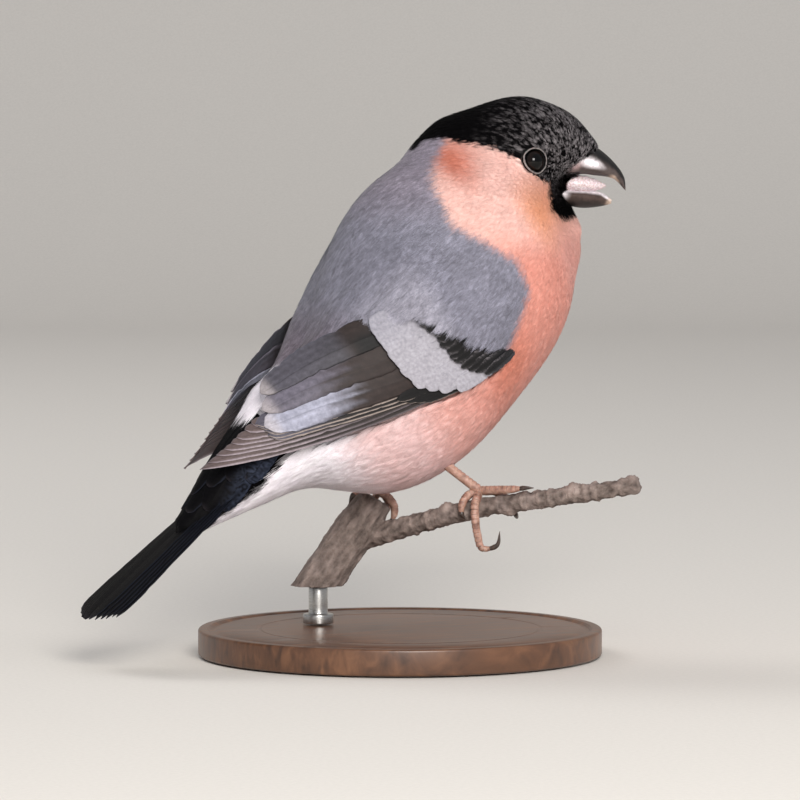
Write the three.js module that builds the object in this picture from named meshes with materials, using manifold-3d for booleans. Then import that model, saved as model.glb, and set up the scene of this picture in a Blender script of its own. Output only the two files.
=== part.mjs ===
// A life-size male bullfinch on a cut length of branch, held up by a small display stand.
// Millimetres, +Z up. The bird faces +X and its left side is +Y.
// The origin is the middle of the stand's underside.
import * as THREE from "three";
import { mergeVertices } from "three/addons/utils/BufferGeometryUtils.js";
import Module from "manifold-3d";

const wasm = await Module();
wasm.setup();

// Driving dimensions of the bird, which is modelled BIRD_LIFT above the stand's underside
const GAP = 0.3;
const BIRD_LIFT = 58;
const BODY_PITCH = 58;
const TORSO = { at: [6.5, 0, 17.2], half: [42, 24, 26.6], pitch: BODY_PITCH };
const CHEST = { at: [14.1, 0, 29.3], half: [23.7, 21.7, 26.1], pitch: BODY_PITCH + 6 };
const RUMP = { from: [-26.8, 0, -6.2], to: [-52.5, 0, -26.6], radii: [13, 2.6], breadth: 1.1 };
const WINGS_AIR = { from: [-26.2, 0, -4.5], to: [-51.2, -1.2, -20], radii: [10.5, 3.4], breadth: 1.25 };
const SOFTNESS = 11;

// Driving dimensions of the head, measured forward, left and up from its middle
const HEAD_AT = [30, 0, 56];
const HEAD_PITCH = -20;
const HEAD_YAW = -25;
const SKULL = { at: [-5, 0, 0.3], half: [17.7, 11.2, 8.9], tilt: 27 };
const THROAT = { at: [4.3, 0, -10.4], half: [12, 3.5, 2.8], tilt: -13 };
const BROW = { from: [-1.2, 0, 4.8], to: [14.4, 0, 4.3], radii: [3.6, 2.7] };
const CULMEN = [[9, 8.5], [16.7, 7], [21.5, 5.1], [24.6, 2.8], [26, 0]];
const UPPER_EDGE = [[9, -5], [14.2, -0.4], [18.2, 0.9], [22.3, 1.6], [25.4, 0.3]];
const LOWER_EDGE = [[9, -5.6], [14, -4.1], [17.5, -3], [21, -2.3], [23.7, -3]];
const GONYS = [[9, -9.5], [13.6, -8], [18, -7.1], [21.7, -5.4], [23.9, -3.9]];
const BILL_HALF_WIDTHS = [5.6, 4.8, 3.6, 2.1, 0.3];
const NOSTRIL = { at: [16.6, 3.7, 4.3], radius: 0.5 };
const TONGUE = { at: [15.8, 0, -2.5], half: [5, 2.5, 1.5], tilt: 18 };
const EYE_RADIUS = 2.7;
const EYE_AT = [3.9, -0.4];
const EYE_DEPTH = 1.5;
const LID_RADIUS = 2.65;
const LID_THICKNESS = 1.1;

// Driving dimensions of the feathers
const SPAN_STATIONS = 20;
const SPAN_RAYS = 10;
const TIGHT_PASSES = 200;
const VANE_THICKNESS = 0.55;
const VANE_STEP = 10;
const TIP_SCATTER = 0.3;
const WING_START = [19.2, 0, 9.6];
const WING_PITCH = 22.8;
const WING_LENGTH = 74;
const WING_RADII = [25, 25.5, 23, 19, 15.5, 8.4];
const SHOULDER = { half: [17, 7.6, 11], tilt: 28, behind: 11, up: 12, left: 18.8 };
const TAIL_ROOT = [-28.3, 0, -5.6];
const TAIL_PITCH = 40.8;
const TAIL_LENGTH = 62;
const TAIL_PAIRS = 6;
const TAIL_WIDTH = 27;
const TAIL_YAW = 1.2;
const TAIL_COVERTS = [-5.4, -1.8, 1.8, 5.4];

// Driving dimensions of the legs, the branch and the stand
const TARSUS_RADIUS = 1.05;
const TOE_RADIUS = 0.95;
const LIMB_RADIUS = 5;
const TWIG_RADIUS = 2.1;
const SAWN_HEIGHT = 15;
const ROD_AT = [-14, 14.3];
const BASE_RADIUS = 46;
const BASE_HEIGHT = 6;
const BASE_BEVEL = 1.2;
const ROD_RADIUS = 2.2;

const NUDGE = 0.1;
const rad = THREE.MathUtils.degToRad;
const vec = (x, y, z) => new THREE.Vector3(x, y, z);
const mix = THREE.MathUtils.lerp;

// Value at a share of the way along a list of evenly spread values
function along(values, share) {
  const place = share * (values.length - 1);
  const from = Math.min(Math.floor(place), values.length - 2);
  return mix(values[from], values[from + 1], place - from);
}

// A seeded draw between -1 and 1, so that every build is the same
let seed = 7;
function draw() {
  seed = (seed * 16807) % 2147483647;
  return (seed / 2147483647) * 2 - 1;
}

// A closed geometry as a solid that can be joined and cut
function solidOf(geometry) {
  const bare = geometry.clone();
  bare.deleteAttribute("normal");
  bare.deleteAttribute("uv");
  const merged = mergeVertices(bare, 1e-4);
  return new wasm.Manifold(
    new wasm.Mesh({
      numProp: 3,
      vertProperties: merged.attributes.position.array,
      triVerts: new Uint32Array(merged.index.array),
    }),
  );
}

// The same where the geometry may be inside out
function facingOut(geometry) {
  const solid = solidOf(geometry);
  if (solid.volume() > 0) return solid;
  return solidOf(geometry.setIndex(Array.from(geometry.index.array).reverse()));
}

function largest(solid) {
  return solid.decompose().reduce((best, one) => (one.volume() > best.volume() ? one : best));
}

function joined(solids) {
  return solids.reduce((whole, one) => whole.add(one));
}

function cutBy(solid, cutters) {
  return cutters.reduce((rest, cutter) => rest.subtract(cutter), solid);
}

// A cylinder whose points are put elsewhere: place gets the share of its length and the point of its section
function swept(sides, steps, place) {
  const geometry = new THREE.CylinderGeometry(1, 1, 1, sides, steps);
  const position = geometry.attributes.position;
  for (let i = 0; i < position.count; i++) {
    const point = place(position.getY(i) + 0.5, position.getX(i), position.getZ(i));
    position.setXYZ(i, point.x, point.y, point.z);
  }
  return facingOut(geometry);
}

// A round tube through points, its radius going through a list of evenly spread values
function tube(points, radii, sides, steps) {
  const curve = new THREE.CatmullRomCurve3(points);
  const frames = curve.computeFrenetFrames(steps);
  return swept(sides, steps, (share, x, z) => {
    const step = Math.round(share * steps);
    const radius = along(radii, share);
    return curve
      .getPointAt(share)
      .addScaledVector(frames.normals[step], radius * x)
      .addScaledVector(frames.binormals[step], radius * z);
  });
}

// Forms of the body, each giving about how far a point lies outside it in millimetres
function turned(pitch, yaw) {
  return new THREE.Matrix4().makeRotationFromEuler(new THREE.Euler(0, -rad(pitch), rad(yaw), "ZYX"));
}

function ellipsoidForm({ at, half, pitch = 0, yaw = 0 }) {
  const inverse = turned(pitch, yaw).setPosition(vec(...at)).invert();
  const size = vec(...half);
  return (point) => {
    const inside = point.clone().applyMatrix4(inverse).divide(size);
    const reach = inside.length();
    const slope = inside.divide(size).length();
    return slope > 1e-9 ? (reach * (reach - 1)) / slope : -Math.min(...half);
  };
}

function coneForm({ from, to, radii, breadth }) {
  const spine = new THREE.Line3(vec(...from), vec(...to));
  return (point) => {
    const share = spine.closestPointToPointParameter(point, true);
    const off = point.clone().sub(spine.at(share, vec()));
    return vec(off.x, off.y / breadth, off.z).length() - mix(...radii, share);
  };
}

function blended(forms, softness) {
  return (point) =>
    forms
      .map((form) => form(point))
      .reduce((a, b) => {
        const near = Math.max(softness - Math.abs(a - b), 0) / softness;
        return Math.min(a, b) - near * near * softness * 0.25;
      });
}

const headTurn = turned(HEAD_PITCH, HEAD_YAW).setPosition(vec(...HEAD_AT));
const onHead = (forward, left, up) => vec(forward, left, up).applyMatrix4(headTurn);

function headForm({ at, half, tilt }) {
  return ellipsoidForm({ at: onHead(...at).toArray(), half, pitch: HEAD_PITCH + tilt, yaw: HEAD_YAW });
}

const chestForm = ellipsoidForm(CHEST);
const torsoForm = ellipsoidForm(TORSO);
const rumpForm = coneForm(RUMP);
const browForm = coneForm({
  from: onHead(...BROW.from).toArray(),
  to: onHead(...BROW.to).toArray(),
  radii: BROW.radii,
  breadth: 1,
});
const headForms = [headForm(SKULL), headForm(THROAT), browForm];
const bodyForm = blended([torsoForm, chestForm, rumpForm, ...headForms], SOFTNESS);

// The surface that the folded wings lie on: the body, and behind it the air between them and the rump
const wingBed = blended([torsoForm, chestForm, rumpForm, coneForm(WINGS_AIR)], SOFTNESS);

// The point on a ray from a centre where it comes to lie a distance outside a form
function foundAlong(form, centre, ray, distance) {
  let inner = 0;
  let outer = 1;
  while (form(centre.clone().addScaledVector(ray, outer)) < distance) outer += 1;
  for (let halving = 0; halving < 14; halving++) {
    const middle = (inner + outer) / 2;
    if (form(centre.clone().addScaledVector(ray, middle)) < distance) inner = middle;
    else outer = middle;
  }
  return centre.clone().addScaledVector(ray, outer);
}

// A skin found along rays from a centre, its poles on an axis, lying a distance outside a form
function skin({ form, centre, axis, around, rings }, distance) {
  const geometry = new THREE.SphereGeometry(1, around, rings);
  const turn = new THREE.Quaternion().setFromUnitVectors(vec(0, 1, 0), axis);
  const position = geometry.attributes.position;
  for (let i = 0; i < position.count; i++) {
    const ray = vec().fromBufferAttribute(position, i).applyQuaternion(turn);
    const found = foundAlong(form, centre, ray, distance);
    position.setXYZ(i, found.x, found.y, found.z);
  }
  return solidOf(geometry);
}

// Keeps what lies on the side of a plane that its normal points to, less half the gap between two nodes
function trimmed(solid, { through, normal }, side) {
  const unit = normal.clone().normalize().multiplyScalar(side);
  return solid.trimByPlane(unit.toArray(), through.dot(unit) + GAP / 2);
}

// Evenly spread depths, raised where they sag below a straight line between two others, as feathers span them
function pulledTight(depths) {
  const raised = [...depths];
  for (let pass = 0; pass < TIGHT_PASSES; pass++)
    for (let i = 1; i < raised.length - 1; i++)
      raised[i] = Math.max(raised[i], (raised[i - 1] + raised[i + 1]) / 2);
  return raised;
}

// Places on a form round a spine: by how far they lie behind its start, how far round it they lie, counted
// from one direction towards another, and how high above the form, whose hollows they span straight.
// The radii make the way round an angle.
function roundSpine({ form, start, behind, zero, quarter, length, radii }) {
  const centreAt = (share) => start.clone().addScaledVector(behind, share * length);
  const rayAt = (angle) =>
    vec().addScaledVector(zero, Math.cos(angle)).addScaledVector(quarter, Math.sin(angle));
  const stations = Array.from({ length: SPAN_STATIONS }, (_, i) => centreAt(i / (SPAN_STATIONS - 1)));
  const spans = Array.from({ length: SPAN_RAYS }, (_, i) => {
    const ray = rayAt(((i / (SPAN_RAYS - 1)) * Math.PI) / 2);
    const depths = stations.map((centre) => foundAlong(form, centre, ray, 0).distanceTo(centre));
    return pulledTight(depths).map((depth, station) => depth - depths[station]);
  });
  return (back, around, height) => {
    const share = THREE.MathUtils.clamp(back / length, 0, 1);
    const angle = around / along(radii, share);
    const turnShare = THREE.MathUtils.clamp((2 * angle) / Math.PI, 0, 1);
    const span = along(spans.map((column) => along(column, share)), turnShare);
    const ray = rayAt(angle);
    return foundAlong(form, centreAt(back / length), ray, height).addScaledVector(ray, span);
  };
}

// A feather's vane, two points across and a step every few millimetres along, cut into the same triangles
// above and below. place turns a distance behind, a distance around and a height into a point. edges are the
// heights of its two edges, lift is how much higher its root stands, and breadths run from root to tip.
const WING_BREADTHS = [0.7, 0.95, 1, 1, 0.9];
const TAIL_BREADTHS = [0.6, 0.9, 1, 1, 0.9];
const TIP_BREADTH = 0.3;
function vane(shape) {
  const { root, tip, width, edges, place } = shape;
  const { lift = 0, bow = 0, stride = VANE_STEP, breadths = WING_BREADTHS } = shape;
  const start = new THREE.Vector2(...root);
  const run = new THREE.Vector2(...tip).sub(start);
  const sideways = new THREE.Vector2(-run.y, run.x).normalize();
  const steps = Math.ceil(run.length() / stride);
  const tipRound = (0.4 * width) / run.length();
  const points = [];
  for (let step = 0; step <= steps + 1; step++) {
    const share = step > steps ? 1 : (step / steps) * (1 - tipRound);
    const breadth = step > steps ? TIP_BREADTH : along(breadths, share);
    const thickness = VANE_THICKNESS * (step > steps ? 0.6 : 1);
    const rise = step === 0 ? lift : 0;
    for (const [edge, face] of [[0, 0], [1, 0], [1, 1], [0, 1]]) {
      const reach = (edge - 0.5) * width * breadth + bow * 4 * share * (1 - share);
      const spot = start.clone().addScaledVector(run, share).addScaledVector(sideways, reach);
      points.push(place(spot.x, spot.y, edges[edge] + rise + face * thickness));
    }
  }
  const triangles = [0, 1, 2, 0, 2, 3];
  for (let ring = 0; ring < points.length - 4; ring += 4) {
    const [a, b, c, d, e, f, g, h] = [0, 1, 2, 3, 4, 5, 6, 7].map((corner) => ring + corner);
    triangles.push(a, f, b, a, e, f, d, c, g, d, g, h, b, g, c, b, f, g, a, d, h, a, h, e);
  }
  const end = points.length - 4;
  triangles.push(end, end + 2, end + 1, end, end + 3, end + 2);
  return facingOut(new THREE.BufferGeometry().setFromPoints(points).setIndex(triangles));
}

// The group and its materials
const part = new THREE.Group();
const bird = new THREE.Group();
bird.position.z = BIRD_LIFT;
const stand = new THREE.Group();
part.add(bird, stand);

const PINK = { color: 0xdd9480, roughness: 0.95 };
const BLACK = { color: 0x17181d, roughness: 0.5 };
const GREY = { color: 0x84868f, roughness: 0.9 };
const WHITE = { color: 0xefebe8, roughness: 0.95 };
const HORN = { color: 0x2b2725, roughness: 0.35 };
const EYE = { color: 0x070606, roughness: 0.05 };
const LEG = { color: 0xa98f83, roughness: 0.7 };
const BARK = { color: 0x6d5b4e, roughness: 0.95 };
const PLINTH = { color: 0x3b2a20, roughness: 0.5 };
const STEEL = { color: 0xb9b9b6, roughness: 0.3, metalness: 1 };

function node(group, name, solid, look) {
  const mesh = largest(solid).getMesh();
  const geometry = new THREE.BufferGeometry();
  geometry.setAttribute("position", new THREE.BufferAttribute(mesh.vertProperties, 3));
  geometry.setIndex(new THREE.BufferAttribute(mesh.triVerts, 1));
  const piece = new THREE.Mesh(geometry, new THREE.MeshStandardMaterial(look));
  piece.name = name;
  group.add(piece);
}

// The body, parted by thin flat cuts
const bodyAxis = vec(Math.cos(rad(BODY_PITCH)), 0, Math.sin(rad(BODY_PITCH)));
const tailAxis = vec(-Math.cos(rad(TAIL_PITCH)), 0, -Math.sin(rad(TAIL_PITCH)));
const NAPE_CUT = { through: vec(24.7, 0, 50), normal: vec(0.46, 0, 0.885) };
const CHEST_CUT = { through: vec(19.5, 0, 38.5), normal: vec(0.316, 0, 0.949) };
const RUMP_CUT = { through: vec(-18, 0, -4), normal: vec(-0.76, 0, -0.65) };
const TAIL_CUT = { through: vec(-36, 0, -14), normal: tailAxis };

const TORSO_SKIN = { form: bodyForm, centre: vec(...TORSO.at), axis: bodyAxis, around: 36, rings: 20 };
const NECK_SKIN = { form: bodyForm, centre: vec(22, 0, 44), axis: bodyAxis, around: 36, rings: 20 };
const HEAD_SKIN = { form: bodyForm, centre: vec(...HEAD_AT), axis: bodyAxis, around: 36, rings: 22 };
const RUMP_SKIN = { form: bodyForm, centre: vec(...RUMP.from), axis: tailAxis, around: 26, rings: 18 };

const torsoSkin = skin(TORSO_SKIN, 0);
const rumpSkin = skin(RUMP_SKIN, 0);
const clearances = [TORSO_SKIN, NECK_SKIN, RUMP_SKIN].map((each) => skin(each, GAP));

node(bird, "torso", trimmed(trimmed(torsoSkin, CHEST_CUT, -1), RUMP_CUT, -1), PINK);
node(bird, "neck", trimmed(trimmed(skin(NECK_SKIN, 0), CHEST_CUT, 1), NAPE_CUT, -1), PINK);
node(bird, "rump", trimmed(trimmed(rumpSkin, RUMP_CUT, 1), TAIL_CUT, -1), WHITE);

// Where the side of the head lies at the eye, and the way it faces there
function eyePlace(side) {
  const [forward, up] = EYE_AT;
  const middle = onHead(forward, 0, up);
  const at = foundAlong(bodyForm, middle, onHead(forward, side, up).sub(middle), 0);
  const rise = (step) => bodyForm(at.clone().add(step)) - bodyForm(at);
  const facing = vec(rise(vec(NUDGE, 0, 0)), rise(vec(0, NUDGE, 0)), rise(vec(0, 0, NUDGE)));
  return { at, facing: facing.normalize() };
}

// The eyes, each a ball in a socket with a ring of lid round it
function eyeBall(side, radius) {
  const { at, facing } = eyePlace(side);
  const middle = at.addScaledVector(facing, -EYE_DEPTH);
  return solidOf(new THREE.SphereGeometry(radius, 16, 10).translate(...middle.toArray()));
}

function lid(side) {
  const { at, facing } = eyePlace(side);
  const turn = new THREE.Quaternion().setFromUnitVectors(vec(0, 0, 1), facing);
  const geometry = new THREE.TorusGeometry(LID_RADIUS, LID_THICKNESS / 2, 6, 16).applyQuaternion(turn);
  return solidOf(geometry.translate(...at.toArray()));
}

// The bill: two mandibles, each between an upper and a lower outline, parted by the line of the mouth
function mandible(top, bottom, flatBelow) {
  const upper = new THREE.SplineCurve(top.map((point) => new THREE.Vector2(...point)));
  const lower = new THREE.SplineCurve(bottom.map((point) => new THREE.Vector2(...point)));
  return swept(16, 10, (share, x, z) => {
    const widest = flatBelow ? 0.35 : 0.7;
    const height = widest + (z > 0 ? 1 - widest : widest) * z;
    const spot = lower.getPoint(share).lerp(upper.getPoint(share), height);
    return onHead(spot.x, x * along(BILL_HALF_WIDTHS, share), spot.y);
  });
}

function tongue() {
  const geometry = new THREE.SphereGeometry(1, 12, 8);
  geometry.scale(...TONGUE.half);
  geometry.rotateY(rad(-TONGUE.tilt));
  geometry.translate(...TONGUE.at);
  return solidOf(geometry.applyMatrix4(headTurn));
}

function nostril(side) {
  const [forward, left, up] = NOSTRIL.at;
  const geometry = new THREE.SphereGeometry(NOSTRIL.radius, 10, 8);
  return solidOf(geometry.translate(...onHead(forward, side * left, up).toArray()));
}

const headSkin = skin(HEAD_SKIN, 0);
const headClearance = skin(HEAD_SKIN, GAP);
const sockets = [-1, 1].map((side) => eyeBall(side, EYE_RADIUS + GAP));
const head = joined([headSkin, lid(-1), lid(1)]);
node(bird, "head", trimmed(cutBy(head, sockets), NAPE_CUT, 1), BLACK);
node(bird, "eye_right", eyeBall(-1, EYE_RADIUS), EYE);
node(bird, "eye_left", eyeBall(1, EYE_RADIUS), EYE);
const upperBill = mandible(CULMEN, UPPER_EDGE, true);
node(bird, "bill_upper", cutBy(upperBill, [headClearance, nostril(-1), nostril(1)]), HORN);
const lowerBill = mandible(LOWER_EDGE, GONYS, false).add(tongue());
node(bird, "bill_lower", lowerBill.subtract(headClearance), HORN);

// The wings. Their feathers are placed by how far they lie behind the start of a line inside the body, and
// how far up round it. The middle of the back is a quarter turn up from the side.
const BEHIND = vec(-Math.cos(rad(WING_PITCH)), 0, -Math.sin(rad(WING_PITCH)));
const ABOVE = vec(BEHIND.z, 0, -BEHIND.x);

// A row of like feathers between a first and a last one, each lying over the next
function row(count, first, last, shared) {
  const vanes = [];
  for (let i = 0; i < count; i++) {
    const share = i / (count - 1);
    const spread = (name) => first[name].map((value, k) => mix(value, last[name][k], share));
    const tip = spread("tip").map((value) => value + TIP_SCATTER * draw());
    const width = mix(first.width, last.width, share);
    const lift = mix(first.lift, last.lift, share);
    vanes.push(vane({ ...shared, root: spread("root"), tip, width, lift }));
  }
  return vanes;
}

function wing(side) {
  const place = roundSpine({
    form: wingBed,
    start: vec(...WING_START),
    behind: BEHIND,
    zero: vec(0, side, 0),
    quarter: ABOVE,
    length: WING_LENGTH,
    radii: WING_RADII,
  });
  const primaries = row(
    5,
    { root: [50, 12], tip: [61, 13], width: 3.4, lift: 0.6 },
    { root: [20, 1.9], tip: [WING_LENGTH, 7.2], width: 3.4, lift: 0.6 },
    { edges: [0.95, 0.5], bow: -1.4, place },
  );
  const secondaries = row(
    4,
    { root: [25, 12.6], tip: [60, 12.8], width: 3.8, lift: 0.6 },
    { root: [15, 5], tip: [60.5, 7.4], width: 3.4, lift: 0.6 },
    { edges: [1.55, 1.1], bow: -0.5, place },
  );
  const tertials = row(
    3,
    { root: [23, 22.8], tip: [54.5, 21.8], width: 6.6, lift: -3 },
    { root: [22, 14], tip: [59, 15], width: 6, lift: 0.6 },
    { edges: [2.2, 1.75], bow: 0.6, place },
  );
  const primaryCoverts = row(
    2,
    { root: [14, 4.2], tip: [34, 4.2], width: 2.8, lift: 0.6 },
    { root: [12, 2], tip: [29, 2], width: 2.8, lift: 0.6 },
    { edges: [2.2, 1.75], place },
  );
  const greaterCoverts = row(
    6,
    { root: [20, 20], tip: [32, 22.4], width: 5, lift: -3.6 },
    { root: [7, 4.2], tip: [20, 2.2], width: 4.6, lift: 0 },
    { edges: [2.95, 2.5], place },
  );
  const shoulder = new THREE.SphereGeometry(1, 18, 11);
  shoulder.scale(...SHOULDER.half);
  shoulder.rotateY(rad(-WING_PITCH - SHOULDER.tilt));
  const middle = vec(...WING_START)
    .addScaledVector(BEHIND, SHOULDER.behind)
    .addScaledVector(ABOVE, SHOULDER.up);
  shoulder.translate(middle.x, side * SHOULDER.left, middle.z);
  return [solidOf(shoulder), ...greaterCoverts, ...primaryCoverts, ...tertials, ...secondaries, ...primaries];
}

for (const [name, side] of [["wing_right", -1], ["wing_left", 1]])
  node(bird, name, cutBy(joined(wing(side)), clearances), GREY);

// The tail: the feathers, the coverts over them, and the end of the rump that they grow from
function onTail(behind, left, height) {
  return vec(...TAIL_ROOT)
    .addScaledVector(tailAxis, behind)
    .addScaledVector(vec(tailAxis.z, 0, -tailAxis.x), height)
    .add(vec(0, left + behind * Math.tan(rad(TAIL_YAW)), 0));
}

function tail() {
  const vanes = [];
  for (let pair = 0; pair < TAIL_PAIRS; pair++)
    for (const side of [-1, 1]) {
      const share = pair / (TAIL_PAIRS - 1);
      const height = -0.32 * pair - 0.05 * side;
      vanes.push(
        vane({
          root: [6, side * mix(0.8, 3, share)],
          tip: [TAIL_LENGTH - 0.8 * pair + 0.3 * draw(), side * mix(1.4, TAIL_WIDTH / 2 - 3.2, share)],
          width: pair === 0 ? 6.4 : 3.4,
          stride: TAIL_LENGTH / 3,
          breadths: TAIL_BREADTHS,
          edges: [height - 0.2 * side, height + 0.2 * side],
          place: onTail,
        }),
      );
    }
  return vanes;
}

function tailCoverts() {
  const spine = new THREE.Line3(vec(...RUMP.from), vec(...RUMP.to));
  const place = roundSpine({
    form: rumpForm,
    start: spine.start,
    behind: spine.delta(vec()).normalize(),
    zero: vec(tailAxis.z, 0, -tailAxis.x),
    quarter: vec(0, 1, 0),
    length: spine.distance(),
    radii: RUMP.radii,
  });
  const vanes = [];
  for (const around of TAIL_COVERTS)
    vanes.push(
      vane({
        root: [14, 1.4 * around],
        tip: [36 - 1.2 * Math.abs(around), around],
        width: 4.4,
        lift: -1,
        edges: [0.5, 0.5],
        place,
      }),
    );
  return vanes;
}

node(bird, "tail", trimmed(joined([rumpSkin, ...tail(), ...tailCoverts()]), TAIL_CUT, 1), BLACK);

// The branch, in two lengths: the limb with its broken top and the twig that grows from it
const points = (list) => list.map((point) => vec(...point));
const scaled = (shares, size, more = 0) => shares.map((share) => share * size + more);
const LIMB = points([
  [-21, 16.6, -54],
  [-14, 14.3, -42.7],
  [-8.2, 12.3, -33.8],
  [-3.8, 10.8, -27],
  [-1.6, 10, -23.2],
]);
const LIMB_TAPER = [1.05, 1.02, 0.98, 0.98, 0.84];
const TWIG = points([
  [-1.5, 8, -31.2],
  [6.7, -1.9, -27.5],
  [15.5, -12.4, -24],
  [28.3, -24.8, -21.2],
  [42.9, -35.8, -18.2],
]);
const TWIG_TAPER = [1.25, 1.05, 1, 0.95, 0.85];
const limb = tube(LIMB, scaled(LIMB_TAPER, LIMB_RADIUS), 14, 12);
const limbClearance = tube(LIMB, scaled(LIMB_TAPER, LIMB_RADIUS, GAP), 14, 12);
const twig = tube(TWIG, scaled(TWIG_TAPER, TWIG_RADIUS), 10, 14);
node(bird, "perch_limb", limb.trimByPlane([0, 0, 1], SAWN_HEIGHT - BIRD_LIFT), BARK);
node(bird, "perch_twig", twig.subtract(limbClearance), BARK);

// The legs. The right foot's toes are placed round the twig: along it, by degrees from its top towards the
// bird's right, and by their distance from its middle. The left foot's toes lie over the limb's broken top.
const FOOT_ON_TWIG = vec(15.5, -12.4, -24);
const twigAxis = TWIG[3].clone().sub(TWIG[1]).normalize();
const twigTop = vec(0, 0, 1).addScaledVector(twigAxis, -twigAxis.z).normalize();
const twigRight = twigTop.clone().cross(twigAxis).multiplyScalar(-1);
const HOLD = TWIG_RADIUS + GAP + TOE_RADIUS;

function roundTwig([ahead, angle, away]) {
  return FOOT_ON_TWIG.clone()
    .addScaledVector(twigAxis, ahead)
    .addScaledVector(twigTop, away * Math.cos(rad(angle)))
    .addScaledVector(twigRight, away * Math.sin(rad(angle)));
}

const LIMB_TOP = LIMB[4];
const limbAxis = LIMB[4].clone().sub(LIMB[2]).normalize();
const limbAhead = vec(1, 0, 0).addScaledVector(limbAxis, -limbAxis.x).normalize();
const limbLeft = limbAxis.clone().cross(limbAhead);

function overLimb([angle, out, up]) {
  return LIMB_TOP.clone()
    .addScaledVector(limbAxis, up)
    .addScaledVector(limbAhead, out * Math.cos(rad(angle)))
    .addScaledVector(limbLeft, out * Math.sin(rad(angle)));
}

const TOE_TAPER = [1, 1, 0.95, 0.9, 0.8, 0.5, 0.2];
const toe = (path) => tube(path, scaled(TOE_TAPER, TOE_RADIUS), 6, 8);
const tarsus = (path) => tube(path, scaled([1.2, 1, 1, 1.05], TARSUS_RADIUS), 8, 4);

const RIGHT_ANKLE = [-0.4, 8, HOLD + 0.6];
const RIGHT_TOES = [
  [RIGHT_ANKLE, [4, 22, HOLD + 0.3], [8.4, 32, HOLD], [11.4, 36, HOLD - 0.1], [13.2, 38, HOLD - 0.4]],
  [RIGHT_ANKLE, [-1, 80, HOLD + 0.2], [-1.6, 148, 7], [-1.2, 160, 9.6], [2.2, 163, 9.4], [3.6, 154, 6.6]],
  [RIGHT_ANKLE, [3, -38, HOLD], [5.2, -105, HOLD + 0.2], [6.6, -160, HOLD + 0.2], [7.6, -192, HOLD + 0.4]],
  [RIGHT_ANKLE, [-3, 20, HOLD + 0.2], [-4.2, 62, HOLD], [-4.6, 105, HOLD], [-4.2, 135, HOLD - 0.4]],
];
const LEFT_ANKLE = [0, 0, 2];
const LEFT_TOES = [-18, 22, 62, 190].map((angle) => [
  LEFT_ANKLE,
  [angle, 3, TOE_RADIUS + 0.75],
  [angle, 5, 0.6],
  [angle, 6.1, -2],
  [angle, 5.7, -4.2],
]);
const RIGHT_HIP = vec(3.5, -6.5, -11);
const LEFT_HIP = vec(-2.5, 8, -11);

function leg(hip, ankle, toes, place) {
  const shin = tarsus([hip, hip.clone().lerp(place(ankle), 0.6), place(ankle)]);
  const foot = toes.map((path) => toe(path.map(place)));
  return cutBy(joined([shin, ...foot]), clearances);
}

node(bird, "leg_right", leg(RIGHT_HIP, RIGHT_ANKLE, RIGHT_TOES, roundTwig), LEG);
node(bird, "leg_left", leg(LEFT_HIP, LEFT_ANKLE, LEFT_TOES, overLimb), LEG);

// The stand
const plinth = new THREE.LatheGeometry(
  [
    [0, 0],
    [BASE_RADIUS, 0],
    [BASE_RADIUS, BASE_HEIGHT - BASE_BEVEL],
    [BASE_RADIUS - BASE_BEVEL, BASE_HEIGHT],
    [0, BASE_HEIGHT],
  ].map((point) => new THREE.Vector2(...point)),
  48,
);
node(stand, "stand_base", solidOf(plinth.rotateX(Math.PI / 2)), PLINTH);
const rodHeight = SAWN_HEIGHT - BASE_HEIGHT - 2 * GAP;
const rod = new THREE.CylinderGeometry(ROD_RADIUS, ROD_RADIUS, rodHeight, 20);
rod.rotateX(Math.PI / 2);
rod.translate(...ROD_AT, BASE_HEIGHT + GAP + rodHeight / 2);
node(stand, "stand_rod", solidOf(rod), STEEL);

export default part;
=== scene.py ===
# %% [markdown]
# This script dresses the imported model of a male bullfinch: a life-size still model on a cut branch, held by
# a small turned stand. The CAD nodes give every place and size. Here they get plumage, horn, skin and bark.
# All sizes are the real ones in millimetres, measured from the bird's own middle, and one function turns
# them into the frame's metres.

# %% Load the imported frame
import math

import bpy
import numpy as np
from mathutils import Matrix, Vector, noise


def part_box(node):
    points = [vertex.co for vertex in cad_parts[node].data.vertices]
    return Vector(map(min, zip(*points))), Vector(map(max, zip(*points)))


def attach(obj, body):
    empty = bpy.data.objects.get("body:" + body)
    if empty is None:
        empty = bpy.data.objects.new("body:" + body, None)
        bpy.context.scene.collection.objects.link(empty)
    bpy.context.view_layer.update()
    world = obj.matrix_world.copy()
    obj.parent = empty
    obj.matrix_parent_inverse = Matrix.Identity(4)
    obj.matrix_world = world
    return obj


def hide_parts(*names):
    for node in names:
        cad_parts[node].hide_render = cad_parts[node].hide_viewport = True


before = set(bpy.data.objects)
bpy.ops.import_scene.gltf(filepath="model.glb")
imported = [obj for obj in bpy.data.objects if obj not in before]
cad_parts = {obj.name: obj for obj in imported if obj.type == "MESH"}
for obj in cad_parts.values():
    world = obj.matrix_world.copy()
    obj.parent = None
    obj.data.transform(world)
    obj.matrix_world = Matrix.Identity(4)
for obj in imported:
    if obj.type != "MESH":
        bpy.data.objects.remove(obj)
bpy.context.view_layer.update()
bpy.ops.object.select_all(action="DESELECT")
print("frame loaded with", len(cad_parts), "nodes")

# %% Units
MM = 0.001
BIRD_LIFT = 58.0


def in_frame(points):
    """Points of the bird, in its own millimetres, as points of the frame in metres."""
    return (np.asarray(points, float) + [0, 0, BIRD_LIFT]) * MM


def in_bird(points):
    return np.asarray(points, float) / MM - [0, 0, BIRD_LIFT]


def unit(vectors):
    vectors = np.asarray(vectors, float)
    return vectors / np.maximum(np.linalg.norm(vectors, axis=-1, keepdims=True), 1e-9)


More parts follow.
